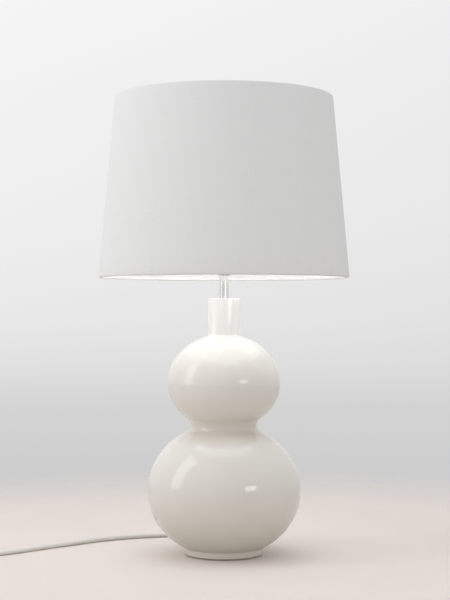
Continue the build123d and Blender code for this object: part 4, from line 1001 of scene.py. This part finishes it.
seen_from_below = sums(tree, "MULTIPLY", underneath, path.outputs["Is Camera Ray"])
clear_share = sums(tree, "MAXIMUM", faded, seen_from_below)
clear = place(tree, "ShaderNodeBsdfTransparent")
blended = place(tree, "ShaderNodeMixShader", {0: clear_share, 1: shader.outputs[0], 2: clear.outputs[0]})
tree.links.new(blended.outputs[0], tree.nodes["Material Output"].inputs["Surface"])
table.data.materials.append(table_paint)
print("table top:", len(table.data.polygons), "faces")

# %% The world: an even light, and a sweep to look at
world = bpy.data.worlds.new("studio")
world.use_nodes = True
scene.world = world
tree = world.node_tree
even = tree.nodes["Background"]
even.inputs["Color"].default_value = (1.0, 1.0, 1.0, 1.0)
even_level, leaning = 0.760, (-0.13, 0.05, 0.0)
direction = place(tree, "ShaderNodeTexCoord").outputs["Generated"]
lean = arrows(tree, "DOT_PRODUCT", direction, leaning, gives=1)
tree.links.new(sums(tree, "ADD", lean, even_level), even.inputs["Strength"])
split = place(tree, "ShaderNodeSeparateXYZ", {0: direction})
rightwards, backwards, upwards = split.outputs

# The sweep's grey at each height, which is the height of a direction one metre long.
stops = [(-0.10, 0.616), (-0.085, 0.634), (-0.062, 0.660), (-0.033, 0.752), (-0.005, 0.805), (0.022, 0.826),
         (0.06, 0.855), (0.105, 0.873), (0.16, 0.890), (0.215, 0.915), (0.24, 0.925)]
sweep_low, sweep_high = stops[0][0], stops[-1][0]
sweep = place(tree, "ShaderNodeValToRGB", {0: between(tree, upwards, sweep_low, sweep_high, how="LINEAR")})
ramp = sweep.color_ramp
while len(ramp.elements) < len(stops):
    ramp.elements.new(0.5)
for element, (z, level) in zip(ramp.elements, stops):
    element.position = (z - sweep_low) / (sweep_high - sweep_low)
    element.color = (level, level, level, 1.0)
right_darker = between(tree, rightwards, -0.15, 0.15, 0.0, 0.055, how="LINEAR")
up_high = between(tree, upwards, -0.09, 0.0)
sideways = sums(tree, "SUBTRACT", 1.0, sums(tree, "MULTIPLY", right_darker, up_high))
seen = blend_colours(tree, 1.0, sweep.outputs[0], sideways, "MULTIPLY")
room = between(tree, backwards, -0.85, 0.15, 0.85, 1.0)
path = place(tree, "ShaderNodeLightPath")
straight = path.outputs["Is Camera Ray"]
dimmed = sums(tree, "MAXIMUM", room, straight)
looked_at = place(tree, "ShaderNodeBackground", {"Color": seen, "Strength": dimmed})
mirrored = sums(tree, "MAXIMUM", path.outputs["Is Glossy Ray"], path.outputs["Is Transmission Ray"])
looking = sums(tree, "MAXIMUM", straight, mirrored)
both = place(tree, "ShaderNodeMixShader", {0: looking, 1: even.outputs[0], 2: looked_at.outputs[0]})
tree.links.new(both.outputs[0], tree.nodes["World Output"].inputs["Surface"])
print("world: even light", even_level, "leaning by", leaning)

# %% [markdown]
# ## The lamps in the studio
#
# A tall soft box stands close to the left and a small one to the front on the right. On the
# glaze they show as a long curved streak and a little bright oblong, which tell the eye how
# round and how glossy the body is.
#
# The lit inside of a shade also lights the body below it, and more than this bulb can, which is
# kept low. So a weak round lamp lies across the shade's open underside and faces down. It
# stands for the rest of that light.

# %% Lamps
def area_lamp(name, shape, width, height, level, where):
    """A lamp of some size that the camera doesn't see. Its level is how bright its face is."""
    face = width * height if shape == "RECTANGLE" else pi * (width / 2) ** 2
    light = bpy.data.lights.new(name, "AREA")
    light.shape = shape
    light.size = width
    if shape == "RECTANGLE":
        light.size_y = height
    light.energy = level * pi * face
    piece = bpy.data.objects.new(name, light)
    piece.location = where
    piece.visible_camera = False
    scene.collection.objects.link(piece)
    print(name, round(width, 2), "x", round(height, 2), "m,", round(light.energy, 2), "W")
    return piece


def soft_box(name, around, up_from, up_to, wide, distance, level):
    """A rectangle of light that faces the lamp. Angles in degrees: around is from the front, to the right."""
    middle_up = radians((up_from + up_to) / 2)
    angle = radians(around)
    aim = Vector((0.0, 0.0, 0.2))
    way = Vector((sin(angle) * cos(middle_up), -cos(angle) * cos(middle_up), sin(middle_up)))
    width = 2 * distance * tan(radians(wide / 2))
    height = 2 * distance * tan(radians((up_to - up_from) / 2))
    piece = area_lamp(name, "RECTANGLE", width, height, level, aim + way * distance)
    piece.rotation_euler = (-way).to_track_quat("-Z", "Y").to_euler()


soft_box("tall_box", -76, 2, 52, 20, 1.7, 1.45)
soft_box("small_box", 40, 4, 13, 17, 1.7, 3.2)
glow_width, glow_height = 0.33, 0.40
area_lamp("shade_glow", "DISK", glow_width, glow_width, 0.7, (0.0, 0.0, glow_height))
